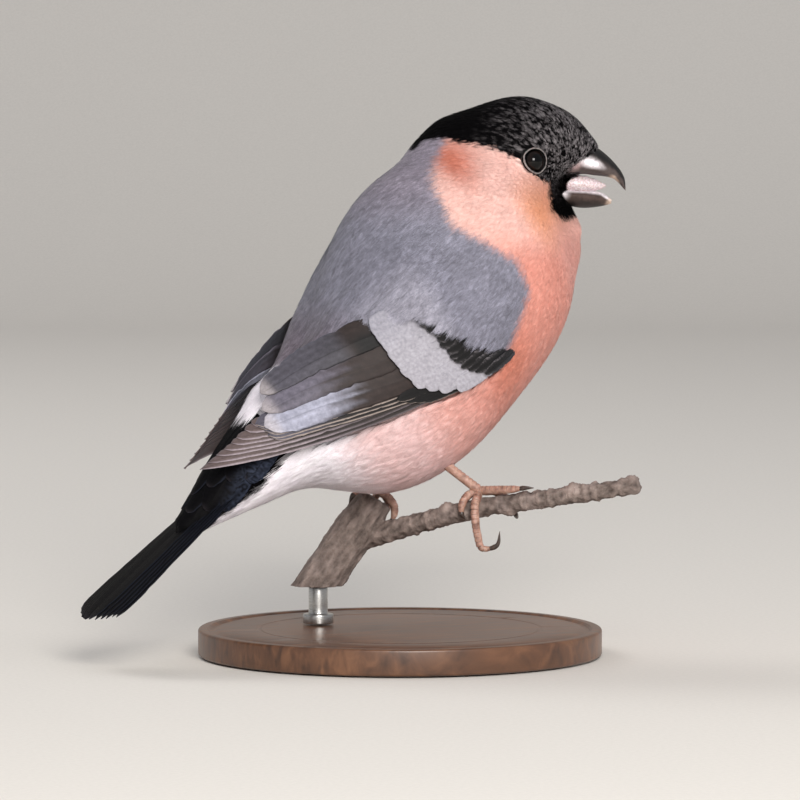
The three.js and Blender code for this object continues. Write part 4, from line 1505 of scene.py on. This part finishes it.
def make_eye(name, side):
    """A glass ball that looks out sideways, with a cornea that bulges a little."""
    place, facing = eye_places[side]
    centre = place - EYE_DEPTH * facing
    bpy.ops.mesh.primitive_uv_sphere_add(
        segments=64, ring_count=40, radius=EYE_RADIUS * MM, location=in_frame(centre)
    )
    eye = bpy.context.object
    eye.name = f"{name}_ball"
    eye.rotation_euler = Vector(facing).to_track_quat("Z", "Y").to_euler()
    bpy.ops.object.transform_apply(location=True, rotation=True, scale=True)
    off = points_of(eye) - centre
    ahead = np.clip(unit(off) @ facing, -1, 1)
    put(eye.data, "off_axis", np.sqrt(1 - ahead**2) * np.where(ahead > 0, 1, BEHIND))
    set_points(eye, centre + off * (1 + CORNEA_BULGE * smooth_step(0.75, 1, ahead))[:, None])
    bpy.ops.object.shade_smooth()
    finish_piece(eye, eye_glass, "eye", name)


make_eye("eye_right", -1)
make_eye("eye_left", 1)


# %% Faces of a tube
def ring_faces(rings, sides, closed):
    """Quads between rings of points, the last ring meeting the first where the tube is closed."""
    grid = np.arange(rings * sides).reshape(rings, sides)
    following = np.roll(grid, -1, 0) if closed else grid[1:]
    first = grid if closed else grid[:-1]
    return np.stack(
        [first, np.roll(first, -1, 1), np.roll(following, -1, 1), following], -1
    ).reshape(-1, 4)


# %% Eyelids
LID_SEGMENTS = 96
LID_SIDES = 12
LID_RADIUS = 3.02
LID_CORNER = 0.14
LID_HEIGHT = 0.02

lid_skin, tree, shader = material(
    "lid_skin", Roughness=0.55, Subsurface_Weight=0.1, Subsurface_Scale=0.0004
)
grain = noise_at(tree, object_coordinates(tree), 4200.0, 2.0)
coloured(tree, shader, ramp(tree, grain, [(0.3, paint(78, 72, 72)), (0.7, paint(150, 142, 140))]))
bumped(tree, shader, grain, 0.00008)


def make_lid(name, side):
    """A ring of skin round the eye, drawn out to a small corner in front and behind."""
    place, facing = eye_places[side]
    ahead = head_turn[:, 0] - head_turn[:, 0] @ facing * facing
    over = np.cross(ahead, facing) * -side
    turn = np.linspace(0, 2 * math.pi, LID_SEGMENTS, endpoint=False)
    out = LID_RADIUS + LID_CORNER * np.maximum(np.cos(2 * turn), 0) ** 8
    round_eye = np.cos(turn)[:, None] * unit(ahead) + 0.95 * np.sin(turn)[:, None] * unit(over)
    path = settled(body_form, place + out[:, None] * round_eye, LID_HEIGHT)
    normals = unit(slope_of(body_form, path))
    outward = np.cross(unit(np.roll(path, -1, 0) - np.roll(path, 1, 0)), normals)
    bead = 0.16 - 0.03 * np.cos(turn + 0.6) + 0.025 * np.sin(turn * 17) + 0.015 * np.sin(turn * 29 + 1)
    section = np.linspace(0, 2 * math.pi, LID_SIDES, endpoint=False)
    points = path[:, None] + bead[:, None, None] * (
        np.cos(section)[None, :, None] * outward[:, None]
        + 1.15 * np.sin(section)[None, :, None] * normals[:, None]
    )
    made = piece_of(f"{name}_lid", points.reshape(-1, 3), ring_faces(LID_SEGMENTS, LID_SIDES, True))
    face_outwards(made)
    finish_piece(made, lid_skin, "black_feathers")


make_lid("eye_right", -1)
make_lid("eye_left", 1)

# %% [markdown]
# Bill, legs, claws and branch are all tubes: rings of points round a line, wider here and thinner there. A
# curve object with a round bevel would make them too, but rings of points can also carry scales, grooves
# and a cross-section of their own.

# %% Tubes
END_SHARE = 0.02


def tube(line, radii, top, sides):
    """Rings round a line: radii of shape (rings, sides), counted from its top side."""
    ahead = unit(np.gradient(line, axis=0))
    top = np.broadcast_to(top, line.shape)
    top = unit(top - (top * ahead).sum(-1, keepdims=True) * ahead)
    side = np.cross(ahead, top)
    angle = np.linspace(0, 2 * math.pi, sides, endpoint=False)
    ring = np.cos(angle)[None, :, None] * top[:, None] + np.sin(angle)[None, :, None] * side[:, None]
    return line[:, None] + ring * radii[..., None]


def closed_tube(points):
    """Points and quads of a tube whose ends are drawn in to their middles."""
    rings, sides, _ = points.shape
    caps = []
    for end in (0, -1):
        middle = points[end].mean(0)
        caps.append(middle + (points[end] - middle) * END_SHARE)
    full = np.concatenate([caps[0][None], points, caps[1][None]])
    return full.reshape(-1, 3), ring_faces(rings + 2, sides, False)


def joined_tubes(name, tubes):
    """Tubes, each with its ends closed, as one piece."""
    points, faces, count = [], [], 0
    for each in tubes:
        places, quads = closed_tube(each)
        points.append(places)
        faces.append(quads + count)
        count += len(places)
    made = piece_of(name, np.vstack(points), np.vstack(faces))
    face_outwards(made)
    return made


# %% [markdown]
# The bill is horn: near black along its ridge, paler and rosy on its sides, with a painted highlight almost
# white along the side of its upper half. The CAD halves are cut off where the head begins, so each half is
# swept anew between the same outlines, with many more rings, and runs on into the head, where the feathers
# cover its root. A tongue lies in the gap between the halves, before the lining of the mouth, coloured dark
# as painted shade.

# %% Horn, and the colours of the bill
horn, tree, shader = material("horn", Specular_IOR_Level=0.3, Coat_Weight=0.12, Coat_Roughness=0.25)
grain = noise_at(tree, object_coordinates(tree), 900.0, 4.0, 0.6)
shade = ramp(tree, grain, [(0.3, (0.6,) * 3), (0.7, (1.3,) * 3)])
coloured(tree, shader, mixed(tree, 1.0, own_value(tree, "tint", "Color"), shade, "MULTIPLY"))
roughened(tree, shader, grain, 0.38, 0.62)
bumped(tree, shader, grain, 0.0001, 0.5)

HORN_DARK = paint(22, 19, 19)
HORN_GREY = paint(86, 74, 71)
HORN_BROWN = paint(66, 52, 47)
HORN_ROSY = paint(168, 140, 140)
# A pale horn: the gape and the lower cutting edge have it, and the painted highlight on the upper half uses
# it too.
HORN_PALE = paint(232, 224, 228)
HORN_TIP = paint(202, 178, 160)
UPPER_EDGE = [[9, -5], [14.2, -0.4], [18.2, 0.9], [22.3, 1.6], [25.4, 0.3]]
LOWER_EDGE = [[9, -5.6], [14, -4.1], [17.5, -3], [21, -2.3], [23.7, -3]]
CULMEN = [[9, 8.5], [16.7, 7], [21.5, 5.1], [24.6, 2.8], [26, 0]]
GONYS = [[9, -9.5], [13.6, -8], [18, -7.1], [21.7, -5.4], [23.9, -3.9]]


def upper_tints(forward, share):
    """Dark, with a painted highlight nearly white along the side and a pale cutting edge near the tip."""
    colours = np.tile(HORN_DARK, (len(forward), 1))
    place = np.column_stack([forward, share])
    colours = toward(colours, 0.7 * (1 - smooth_step(0.5, 0.82, share)), HORN_GREY)
    # The near-white patch along the side is a painted highlight of the glossy horn.
    colours = toward(colours, 1.3 * patch(place, [16.4, 0.46], [4.2, 0.26]), HORN_PALE)
    colours = toward(colours, 0.8 * patch(place, [12.6, 0.34], [3.0, 0.3]), HORN_ROSY)
    return toward(colours, 1.3 * patch(place, [22.6, 0.06], [2.2, 0.34]), HORN_TIP)


def lower_tints(forward, up, depth):
    """Brown-grey, pale along the cutting edge and at the gape."""
    colours = np.tile(HORN_BROWN, (len(forward), 1))
    colours = toward(colours, 0.75 * smooth_step(1.2, 3.2, depth) * smooth_step(13, 16, forward), HORN_DARK)
    colours = toward(colours, 0.85 * (1 - smooth_step(0.15, 0.8, depth)), HORN_PALE)
    gape = patch(np.column_stack([forward, up]), [11.8, -5.4], [3.0, 3.2])
    colours = toward(colours, 1.2 * gape, HORN_PALE)
    return toward(colours, 0.8 * smooth_step(22.2, 23.6, forward), HORN_TIP)


def bill_tints(points, lower):
    forward, _, up = from_head(points).T
    if lower:
        return lower_tints(forward, up, np.interp(forward, *np.transpose(LOWER_EDGE)) - up)
    edge = np.interp(forward, *np.transpose(UPPER_EDGE))
    ridge = np.interp(forward, *np.transpose(CULMEN))
    return upper_tints(forward, (up - edge) / np.maximum(ridge - edge, 0.5))


# %% The two halves of the bill
BILL_RINGS = 90
BILL_SIDES = 96
BILL_HALF_WIDTHS = [5.3, 4.8, 3.6, 2.1, 0.3]
NOSTRIL = [16.6, 4.3]
NOSTRIL_DEPTH = 0.7
NOSTRIL_RADIUS = 0.5


def smooth_curve(places, shares):
    """The smooth curve through evenly counted places that the CAD source draws its outlines with."""
    places = np.asarray(places, float)
    at = np.clip(shares, 0, 1) * (len(places) - 1)
    index = np.minimum(at.astype(int), len(places) - 2)
    step = (at - index)[:, None]
    p0, p1 = places[np.maximum(index - 1, 0)], places[index]
    p2, p3 = places[index + 1], places[np.minimum(index + 2, len(places) - 1)]
    leave, reach = (p2 - p0) / 2, (p3 - p1) / 2
    cubic = 2 * p1 - 2 * p2 + leave + reach
    square = -3 * p1 + 3 * p2 - 2 * leave - reach
    return p1 + leave * step + square * step**2 + cubic * step**3


def make_bill(name, top, bottom, widest, lower):
    """Half of the bill, swept between its two outlines. widest is the share of its height, from below, at
    which it is widest."""
    share = np.linspace(0, 1, BILL_RINGS)
    upper_line, lower_line = smooth_curve(top, share), smooth_curve(bottom, share)
    turn = np.linspace(0, 2 * math.pi, BILL_SIDES, endpoint=False)
    rise = widest + np.where(np.cos(turn) > 0, 1 - widest, widest) * np.cos(turn)
    spot = lower_line[:, None] + (upper_line - lower_line)[:, None] * rise[None, :, None]
    half = np.interp(share, np.linspace(0, 1, len(BILL_HALF_WIDTHS)), BILL_HALF_WIDTHS)
    left = np.sin(turn)[None] * half[:, None]
    if not lower:
        hole = np.linalg.norm(spot - NOSTRIL, axis=-1)
        left = left - np.sign(left) * NOSTRIL_DEPTH * np.exp(-((hole / NOSTRIL_RADIUS) ** 2))
    points = on_head(np.stack([spot[..., 0], left, spot[..., 1]], -1))
    made = joined_tubes(f"{name}_horn", [points])
    bpy.ops.object.shade_smooth()
    put(made.data, "tint", bill_tints(points_of(made), lower))
    finish_piece(made, horn, "horn", name)


make_bill("bill_upper", CULMEN, UPPER_EDGE, 0.35, False)
make_bill("bill_lower", LOWER_EDGE, GONYS, 0.7, True)

# %% Tongue
TONGUE_HALF = [6.8, 3.2, 2.1]
TONGUE_AT = [14.9, 0, -2.3]
TONGUE_TILT = 16
GROOVE_DEPTH = 0.4
WRINKLE = 0.12

tongue_flesh, tree, shader = material(
    "tongue_flesh", Roughness=0.3, Subsurface_Weight=0.2, Subsurface_Scale=0.0006
)
grain = noise_at(tree, object_coordinates(tree), 2600.0, 3.0)
coloured(tree, shader, ramp(tree, grain, [(0.3, paint(176, 152, 152)), (0.7, paint(232, 220, 224))]))
bumped(tree, shader, grain, 0.0001, 0.6)


def unit_ball(name, segments, rings):
    """A ball, and its points with its radius as 1."""
    bpy.ops.mesh.primitive_uv_sphere_add(segments=segments, ring_count=rings, radius=MM)
    made = bpy.context.object
    made.name = name
    return made, points_of(made) + [0, 0, BIRD_LIFT]


tongue, ball = unit_ball("tongue", 48, 32)
rising = np.clip(ball[:, 2], 0, 1)
taper = 1 - 0.35 * np.clip(ball[:, :1], 0, 1) ** 2
ball = ball * TONGUE_HALF * np.hstack([np.ones_like(taper), taper, taper])
ball[:, 2] -= GROOVE_DEPTH * np.exp(-((ball[:, 1] / 0.5) ** 2)) * rising
ball[:, 2] += WRINKLE * np.sin(ball[:, 0] * 3.1 + np.abs(ball[:, 1]) * 1.7) * rising
set_points(tongue, on_head(ball @ turned(TONGUE_TILT).T + TONGUE_AT))
bpy.ops.object.shade_smooth()
finish_piece(tongue, tongue_flesh, "horn")

# %% Lining of the mouth
LINING_HALF = [4.4, 3.4, 3.0]
LINING_AT = [10.6, 0, -2.6]

lining_flesh, tree, shader = material("mouth_lining", Roughness=0.4)
grain = noise_at(tree, object_coordinates(tree), 1400.0, 3.0)
# The lining is flesh, coloured darker than flesh as painted shade of the inside of the mouth.
coloured(tree, shader, ramp(tree, grain, [(0.35, paint(46, 30, 30)), (0.7, paint(118, 86, 86))]))
bumped(tree, shader, grain, 0.0002, 0.8)

lining, ball = unit_ball("mouth_lining", 40, 28)
set_points(lining, on_head(ball * LINING_HALF + LINING_AT))
bpy.ops.object.shade_smooth()
finish_piece(lining, lining_flesh, "horn")

# %% [markdown]
# Legs and toes are thin and scaly. Each is a tube along the CAD's own line. Rings of horny scutes are
# raised in the mesh on their upper side, pads bulge under the toes, and each toe ends in a separate dark
# curved claw.


# %% A smooth line through places
def spline(places, count):
    """Evenly spaced points of a smooth line through places, as in the CAD source, and its length."""
    places = np.asarray(places, float)
    full = np.vstack([2 * places[0] - places[1], places, 2 * places[-1] - places[-2]])
    knots = np.linalg.norm(np.diff(full, axis=0), axis=1) ** 0.5
    share = np.linspace(0, 1, 25)[:, None]
    dense = []
    for k in range(1, len(full) - 2):
        p0, p1, p2, p3 = full[k - 1 : k + 3]
        d0, d1, d2 = knots[k - 1 : k + 2]
        leave = ((p1 - p0) / d0 - (p2 - p0) / (d0 + d1) + (p2 - p1) / d1) * d1
        reach = ((p2 - p1) / d1 - (p3 - p1) / (d1 + d2) + (p3 - p2) / d2) * d1
        cubic = 2 * p1 - 2 * p2 + leave + reach
        square = -3 * p1 + 3 * p2 - 2 * leave - reach
        dense.append(p1 + leave * share + square * share**2 + cubic * share**3)
    dense = np.vstack(dense)
    walked = np.concatenate([[0], np.cumsum(np.linalg.norm(np.diff(dense, axis=0), axis=1))])
    wanted = np.linspace(0, walked[-1], count)
    return np.column_stack([np.interp(wanted, walked, dense[:, axis]) for axis in range(3)]), walked[-1]


# %% Lines of the branch
LIMB = [[-21, 16.6, -54], [-14, 14.3, -42.7], [-8.2, 12.3, -33.8], [-3.8, 10.8, -27], [-1.6, 10, -23.2]]
TWIG = [
    [-1.5, 8, -31.2], [6.7, -1.9, -27.5], [15.5, -12.4, -24], [28.3, -24.8, -21.2], [42.9, -35.8, -18.2],
]  # fmt: skip
LIMB_TAPER = [1.05, 1.02, 0.98, 0.98, 0.84]
TWIG_TAPER = [1.25, 1.05, 1, 0.95, 0.85]
LIMB_RADIUS = 5
TWIG_RADIUS = 2.1
GAP = 0.3

# %% Lines of the toes
TARSUS_RADIUS = 1.05
TOE_RADIUS = 0.95
HOLD = TWIG_RADIUS + GAP + TOE_RADIUS
FOOT_ON_TWIG = np.array([15.5, -12.4, -24])
UP = np.array([0.0, 0, 1])
twig_ahead = unit(np.subtract(TWIG[3], TWIG[1]))
twig_top = unit(UP - UP @ twig_ahead * twig_ahead)
twig_right = -np.cross(twig_top, twig_ahead)
limb_up = unit(np.subtract(LIMB[4], LIMB[2]))
limb_ahead = unit(np.array([1.0, 0, 0]) - limb_up[0] * limb_up)
limb_left = np.cross(limb_up, limb_ahead)


def round_twig(place):
    """A place by how far ahead along the twig, by degrees from its top to its right, and by distance."""
    ahead, angle, away = place
    angle = math.radians(angle)
    outward = twig_top * math.cos(angle) + twig_right * math.sin(angle)
    return FOOT_ON_TWIG + ahead * twig_ahead + away * outward


def over_limb(place):
    """A place by degrees round the limb's broken top, by how far out, and by how far up."""
    angle, out, up = place
    angle = math.radians(angle)
    outward = limb_ahead * math.cos(angle) + limb_left * math.sin(angle)
    return np.array(LIMB[4]) + up * limb_up + out * outward


RIGHT_ANKLE = [-0.4, 8, HOLD + 0.6]
RIGHT_TOES = [
    [RIGHT_ANKLE, [4, 22, HOLD + 0.3], [8.4, 32, HOLD], [11.4, 36, HOLD - 0.1], [13.2, 38, HOLD - 0.4]],
    [RIGHT_ANKLE, [-1, 80, HOLD + 0.2], [-1.6, 148, 7], [-1.2, 160, 9.6], [2.2, 163, 9.4], [3.6, 154, 6.6]],
    [RIGHT_ANKLE, [3, -38, HOLD], [5.2, -105, HOLD + 0.2], [6.6, -160, HOLD + 0.2], [7.6, -192, HOLD + 0.4]],
    [RIGHT_ANKLE, [-3, 20, HOLD + 0.2], [-4.2, 62, HOLD], [-4.6, 105, HOLD], [-4.2, 135, HOLD - 0.4]],
]
LEFT_ANKLE = [0, 0, 2]
LEFT_TOES = [
    [LEFT_ANKLE, [angle, 3, TOE_RADIUS + 0.75], [angle, 5, 0.6], [angle, 6.1, -2], [angle, 5.7, -4.2]]
    for angle in (-18, 22, 62, 190)
]
RIGHT_HIP = np.array([3.5, -6.5, -11])
LEFT_HIP = np.array([-2.5, 8, -11])

# %% Leg and claw materials
leg_skin, tree, shader = material(
    "leg_skin", Roughness=0.5, Subsurface_Weight=0.15, Subsurface_Scale=0.0005
)
coordinates = object_coordinates(tree)
blotch = noise_at(tree, coordinates, 700.0, 4.0)
fine = noise_at(tree, coordinates, 5200.0, 2.0)
tint = ramp(
    tree, blotch, [(0.3, paint(116, 82, 70)), (0.55, paint(172, 134, 118)), (0.8, paint(198, 168, 156))]
)
coloured(tree, shader, mixed(tree, own_value(tree, "crease"), tint, paint(84, 62, 54)))
bumped(tree, shader, fine, 0.00008, 0.7)

claw_horn, tree, shader = material("claw_horn", Coat_Weight=0.3, Coat_Roughness=0.2)
grain = noise_at(tree, object_coordinates(tree), 1800.0, 3.0)
coloured(tree, shader, ramp(tree, grain, [(0.3, paint(34, 27, 24)), (0.7, paint(78, 62, 54))]))
roughened(tree, shader, grain, 0.28, 0.5)
bumped(tree, shader, grain, 0.00005, 0.5)

# %% Legs and claws
SCUTE_LENGTH = 1.05
CREASE_SHARE = 0.12
CREASE_DEPTH = 0.6
CLAW_SHARE = 0.24
CLAW_OVERLAP = 3
TUBE_SIDES = 20
RINGS_PER_MM = 9
LEAST_RINGS = 40
SHIN_FRONT = np.array([0.8, 0, 0.3])


def scaly(line, length, thickness, has_pads):
    """Radii with scutes stepped along the top and soft pads below."""
    rings = len(line)
    share = np.linspace(0, 1, rings)[:, None]
    angle = np.linspace(0, 2 * math.pi, TUBE_SIDES, endpoint=False)[None]
    phase = (share * length / SCUTE_LENGTH) % 1
    on_top = smooth_step(-0.2, 0.5, np.cos(angle))
    step = (0.09 * phase - 0.12 * (phase < CREASE_SHARE)) * on_top
    pad = 0.12 * has_pads * np.sin(share * math.pi * 3.5) ** 2 * smooth_step(0.2, 0.9, -np.cos(angle))
    crease = (phase < CREASE_SHARE) * on_top
    return thickness[:, None] * (1 + step + pad), np.broadcast_to(crease, (rings, TUBE_SIDES))


def evenly_ringed(places):
    """A smooth line with enough rings for its length, and the length."""
    _, length = spline(places, LEAST_RINGS)
    return spline(places, max(int(length * RINGS_PER_MM), LEAST_RINGS))


def claw_of(line, top):
    """The last part of a toe's line as a thin curved tube."""
    share = np.linspace(0, 1, len(line))
    thin = np.interp(share, [0, 0.25, 0.7, 1], [0.5, 0.62, 0.34, 0.06]) * TOE_RADIUS
    return tube(line, np.tile(thin[:, None], (1, TUBE_SIDES)), top, TUBE_SIDES)


def make_leg(name, hip, ankle, toes, place, middle_of_grip):
    """A leg and its toes as one scaly piece, and the claws as another."""
    ankle_at = place(ankle)
    line, length = evenly_ringed([hip, hip + (ankle_at - hip) * 0.6, ankle_at])
    share = np.linspace(0, 1, len(line))
    thickness = TARSUS_RADIUS * np.interp(share, [0, 0.33, 0.66, 1], [1.2, 1, 1, 1.05])
    parts, claws = [(line, length, thickness, SHIN_FRONT, False)], []
    for toe in toes:
        line, length = evenly_ringed([place(each) for each in toe])
        top = line - middle_of_grip
        last = int(len(line) * (1 - CLAW_SHARE))
        claws.append(claw_of(line[last - CLAW_OVERLAP :], top[last - CLAW_OVERLAP :]))
        share = np.linspace(0, 1, last + 1)
        thickness = TOE_RADIUS * np.interp(share, [0, 0.5, 0.85, 1], [1.02, 0.95, 0.85, 0.5])
        parts.append((line[: last + 1], length * (1 - CLAW_SHARE), thickness, top[: last + 1], True))
    tubes, creases = [], []
    for line, length, thickness, top, has_pads in parts:
        radii, crease = scaly(line, length, thickness, has_pads)
        tubes.append(tube(line, radii, top, TUBE_SIDES))
        creases.append(np.vstack([crease[:1], crease, crease[-1:]]).ravel())
    leg = joined_tubes(f"{name}_scaly", tubes)
    put(leg.data, "crease", CREASE_DEPTH * np.concatenate(creases))
    finish_piece(leg, leg_skin, "leg_skin", name)
    finish_piece(joined_tubes(f"{name}_claws", claws), claw_horn, "horn")


make_leg("leg_right", RIGHT_HIP, RIGHT_ANKLE, RIGHT_TOES, round_twig, FOOT_ON_TWIG)
make_leg("leg_left", LEFT_HIP, LEFT_ANKLE, LEFT_TOES, over_limb, np.array(LIMB[4]) - 4 * limb_up)

# %% [markdown]
# The branch is one growth, so the CAD's two lengths are covered by one bark. Limb and twig are swept,
# remeshed together so that the fork is grown over, and then every point is pushed along its normal by
# noise that is stretched along the wood: furrows on the limb, and rings and buds on the twig.

# %% Branch
SAWN_HEIGHT = 15.0
BARK_VOXEL = 0.00042
TWIG_FOOT = [-4.2, 11.2, -32.4]


def swept_branch(places, taper, radius, rings, sides):
    """A tapering tube along a smooth line, and the line."""
    line, _ = spline(places, rings)
    share = np.linspace(0, 1, len(taper))
    radii = radius * np.interp(np.linspace(0, 1, rings), share, taper)
    return tube(line, np.tile(radii[:, None], (1, sides)), np.array([0.3, 0.8, 0.5]), sides), line


limb_tube, limb_line = swept_branch(LIMB, LIMB_TAPER, LIMB_RADIUS, 80, 40)
twig_tube, twig_line = swept_branch([TWIG_FOOT] + TWIG[1:], TWIG_TAPER, TWIG_RADIUS, 110, 24)
branch = joined_tubes("branch_bark", [limb_tube, twig_tube])
apply_modifier(branch, "REMESH", mode="VOXEL", voxel_size=BARK_VOXEL)
apply_modifier(branch, "SMOOTH", factor=0.5, iterations=4)
print("limb and twig grown together with", len(branch.data.vertices), "points")

# %% Bark
# Rings have a share of the twig's length and a swelling in millimetres. Buds have a turn round it too.
TWIG_RINGS = [
    (0.2, 0.25), (0.26, 0.3), (0.29, 0.2), (0.4, 0.35), (0.45, 0.25), (0.61, 0.3), (0.66, 0.2), (0.7, 0.35),
    (0.82, 0.3), (0.85, 0.35), (0.94, 0.3),
]  # fmt: skip
TWIG_BUDS = [(0.33, 1.0, 0.2), (0.55, 0.9, 2.6), (0.78, 1.1, -0.6), (0.97, 0.9, 1.0)]


def nearest_on(line, points):
    """The nearest place on a line to each point: its share of the length, and its distance."""
    best, share = np.full(len(points), 1e9), np.zeros(len(points))
    for k, place in enumerate(line):
        distance = np.linalg.norm(points - place, axis=1)
        closer = distance < best
        best = np.where(closer, distance, best)
        share = np.where(closer, k / (len(line) - 1), share)
    return share, best


def rugged(points, normals):
    """How far the bark stands out at each point: furrows, knobs, and the twig's rings and buds."""
    _, off_limb = nearest_on(limb_line, points)
    along_twig, off_twig = nearest_on(twig_line, points)
    on_limb = smooth_step(-1.5, 1.5, (off_twig - TWIG_RADIUS) - (off_limb - LIMB_RADIUS))
    grain_axis = unit(limb_line[-1] - limb_line[0])
    height = np.zeros(len(points))
    for k, (place, limb_share) in enumerate(zip(points, on_limb)):
        lengthwise = place @ grain_axis
        squeezed = place - grain_axis * lengthwise * 0.72
        furrow = noise.fractal(Vector(squeezed * 0.9), 0.9, 2.1, 4)
        knobs = noise.fractal(Vector(place * 0.75 + 40), 1.0, 2.0, 4)
        height[k] = limb_share * 0.34 * furrow + (1 - limb_share) * 0.28 * knobs + 0.12 * knobs
    for share, swell in TWIG_RINGS:
        height += (1 - on_limb) * swell * np.exp(-(((along_twig - share) / 0.008) ** 2))
    for share, swell, turn in TWIG_BUDS:
        side = smooth_step(-0.1, 0.9, normals @ [0, math.sin(turn), math.cos(turn)])
        height += (1 - on_limb) * swell * np.exp(-(((along_twig - share) / 0.02) ** 2)) * side
    return height


bark_points = points_of(branch)
bark_normals = np.array([vertex.normal[:] for vertex in branch.data.vertices])
raised = rugged(bark_points, bark_normals)
# The lower the bark lies in its furrows, the darker it is painted.
put(branch.data, "sunken", np.clip(0.5 - raised * 1.1, 0, 1))
set_points(branch, bark_points + bark_normals * raised[:, None])
select_only(branch)
edit_all()
bpy.ops.mesh.bisect(
    plane_co=(0, 0, SAWN_HEIGHT * MM), plane_no=(0, 0, 1), use_fill=True, clear_inner=True
)
bpy.ops.object.mode_set(mode="OBJECT")
bpy.ops.object.shade_smooth_by_angle(angle=math.radians(60))

# %% Bark material
bark, tree, shader = material("bark", Roughness=0.88)
coordinates = object_coordinates(tree)
blotch = noise_at(tree, coordinates, 260.0, 4.0)
fine = noise_at(tree, coordinates, 2200.0, 4.0, 0.65)
ground = ramp(
    tree, blotch, [(0.32, paint(92, 68, 60)), (0.5, paint(130, 106, 98)), (0.68, paint(164, 142, 136))]
)
ground = mixed(tree, fine, ground, paint(168, 156, 148))
# Darker where the bark lies lower.
coloured(tree, shader, mixed(tree, own_value(tree, "sunken"), ground, paint(40, 29, 24)))
bumped(tree, shader, fine, 0.00025, 0.9)
finish_piece(branch, bark, "bark", "perch_limb", "perch_twig")

# %% [markdown]
# The stand is plain: a turned wooden foot and a short steel rod. The foot is shaped as on a lathe, from a
# disc whose upper face is inset and stepped into a rim, a hollow and a raised middle.

# %% Stand foot
BASE_RADIUS = 46
BASE_HEIGHT = 6
# How far each cut of the lathe goes in from the one before, and how far it then rises.
TURNED_STEPS = [(2.2, 0), (0.6, -0.55), (1.0, 0), (0.7, 0.4), (9.0, 0), (0.5, -0.3), (0.5, 0.3)]

bpy.ops.mesh.primitive_cylinder_add(
    vertices=160,
    radius=BASE_RADIUS * MM,
    depth=BASE_HEIGHT * MM,
    location=(0, 0, BASE_HEIGHT * MM / 2),
)
foot = bpy.context.object
foot.name = "stand_foot"
bpy.ops.object.transform_apply(location=True)


def select_faces(made, wanted):
    """Selects faces in edit mode by their centre and normal."""
    bpy.ops.object.mode_set(mode="OBJECT")
    for vertex in made.data.vertices:
        vertex.select = False
    for edge in made.data.edges:
        edge.select = False
    for polygon in made.data.polygons:
        polygon.select = bool(wanted(polygon.center, polygon.normal))
    bpy.ops.object.mode_set(mode="EDIT")
    bpy.ops.mesh.select_mode(type="FACE")


select_faces(foot, lambda centre, normal: normal.z > 0.9)
for inset, rise in TURNED_STEPS:
    bpy.ops.mesh.inset(thickness=inset * MM, depth=0)
    bpy.ops.transform.translate(value=(0, 0, rise * MM))
bpy.ops.object.mode_set(mode="OBJECT")
apply_modifier(
    foot, "BEVEL", width=0.7 * MM, segments=4, limit_method="ANGLE", angle_limit=math.radians(50)
)
bpy.ops.object.shade_smooth_by_angle(angle=math.radians(35))

# %% Walnut
walnut, tree, shader = material("walnut", Coat_Weight=0.25, Coat_Roughness=0.25)
coordinates = object_coordinates(tree)
warp = noise_at(tree, coordinates, 40.0, 4.0)
position = node(
    tree, "ShaderNodeMapping", {"Vector": coordinates, "Rotation": (0, 0, 0.5), "Scale": (9, 60, 20)}
)
grain = node(
    tree,
    "ShaderNodeTexNoise",
    {"Vector": position.outputs[0], "Scale": 9.0, "Detail": 6.0, "Distortion": 0.6},
).outputs["Fac"]
tint = ramp(tree, grain, [(0.3, paint(52, 32, 22)), (0.52, paint(92, 60, 40)), (0.72, paint(120, 82, 56))])
clouds = ramp(tree, warp, [(0.3, paint(60, 38, 26)), (0.7, paint(120, 84, 60))])
coloured(tree, shader, mixed(tree, 0.25, tint, clouds))
roughened(tree, shader, grain, 0.34, 0.5)
bumped(tree, shader, grain, 0.0001, 0.35)
finish_piece(foot, walnut, "stand_wood", "stand_base")

# %% Stand rod
ROD_RADIUS = 2.2
COLLAR_HEIGHT = 2.2
COLLAR_WIDTH = 1.3

rod_low, rod_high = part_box("stand_rod")
rod_middle = (rod_low + rod_high) / 2
rod_height = rod_high.z - rod_low.z
bpy.ops.mesh.primitive_cylinder_add(
    vertices=64, radius=ROD_RADIUS * MM, depth=rod_height, location=rod_middle
)
rod = bpy.context.object
rod.name = "stand_pin"
bpy.ops.object.transform_apply(location=True)
select_faces(rod, lambda centre, normal: abs(normal.z) < 0.1)
bpy.ops.mesh.subdivide(number_cuts=1)
bpy.ops.object.mode_set(mode="OBJECT")
collar_top = rod_low.z + COLLAR_HEIGHT * MM
edit_all()
bpy.ops.mesh.bisect(plane_co=(0, 0, collar_top), plane_no=(0, 0, 1))
select_faces(rod, lambda centre, normal: abs(normal.z) < 0.1 and centre.z < collar_top)
bpy.ops.mesh.extrude_region_shrink_fatten(TRANSFORM_OT_shrink_fatten={"value": COLLAR_WIDTH * MM})
bpy.ops.object.mode_set(mode="OBJECT")
apply_modifier(
    rod, "BEVEL", width=0.25 * MM, segments=3, limit_method="ANGLE", angle_limit=math.radians(50)
)
bpy.ops.object.shade_smooth_by_angle(angle=math.radians(35))

# %% Brushed steel
steel, tree, shader = material("brushed_steel", Metallic=1.0)
brush = noise_at(tree, object_coordinates(tree), 900.0, 3.0, 0.5, (1, 1, 14))
coloured(tree, shader, ramp(tree, brush, [(0.3, paint(168, 167, 164)), (0.7, paint(206, 205, 202))]))
roughened(tree, shader, brush, 0.22, 0.38)
bumped(tree, shader, brush, 0.00002, 0.4)
finish_piece(rod, steel, "stand_steel", "stand_rod")
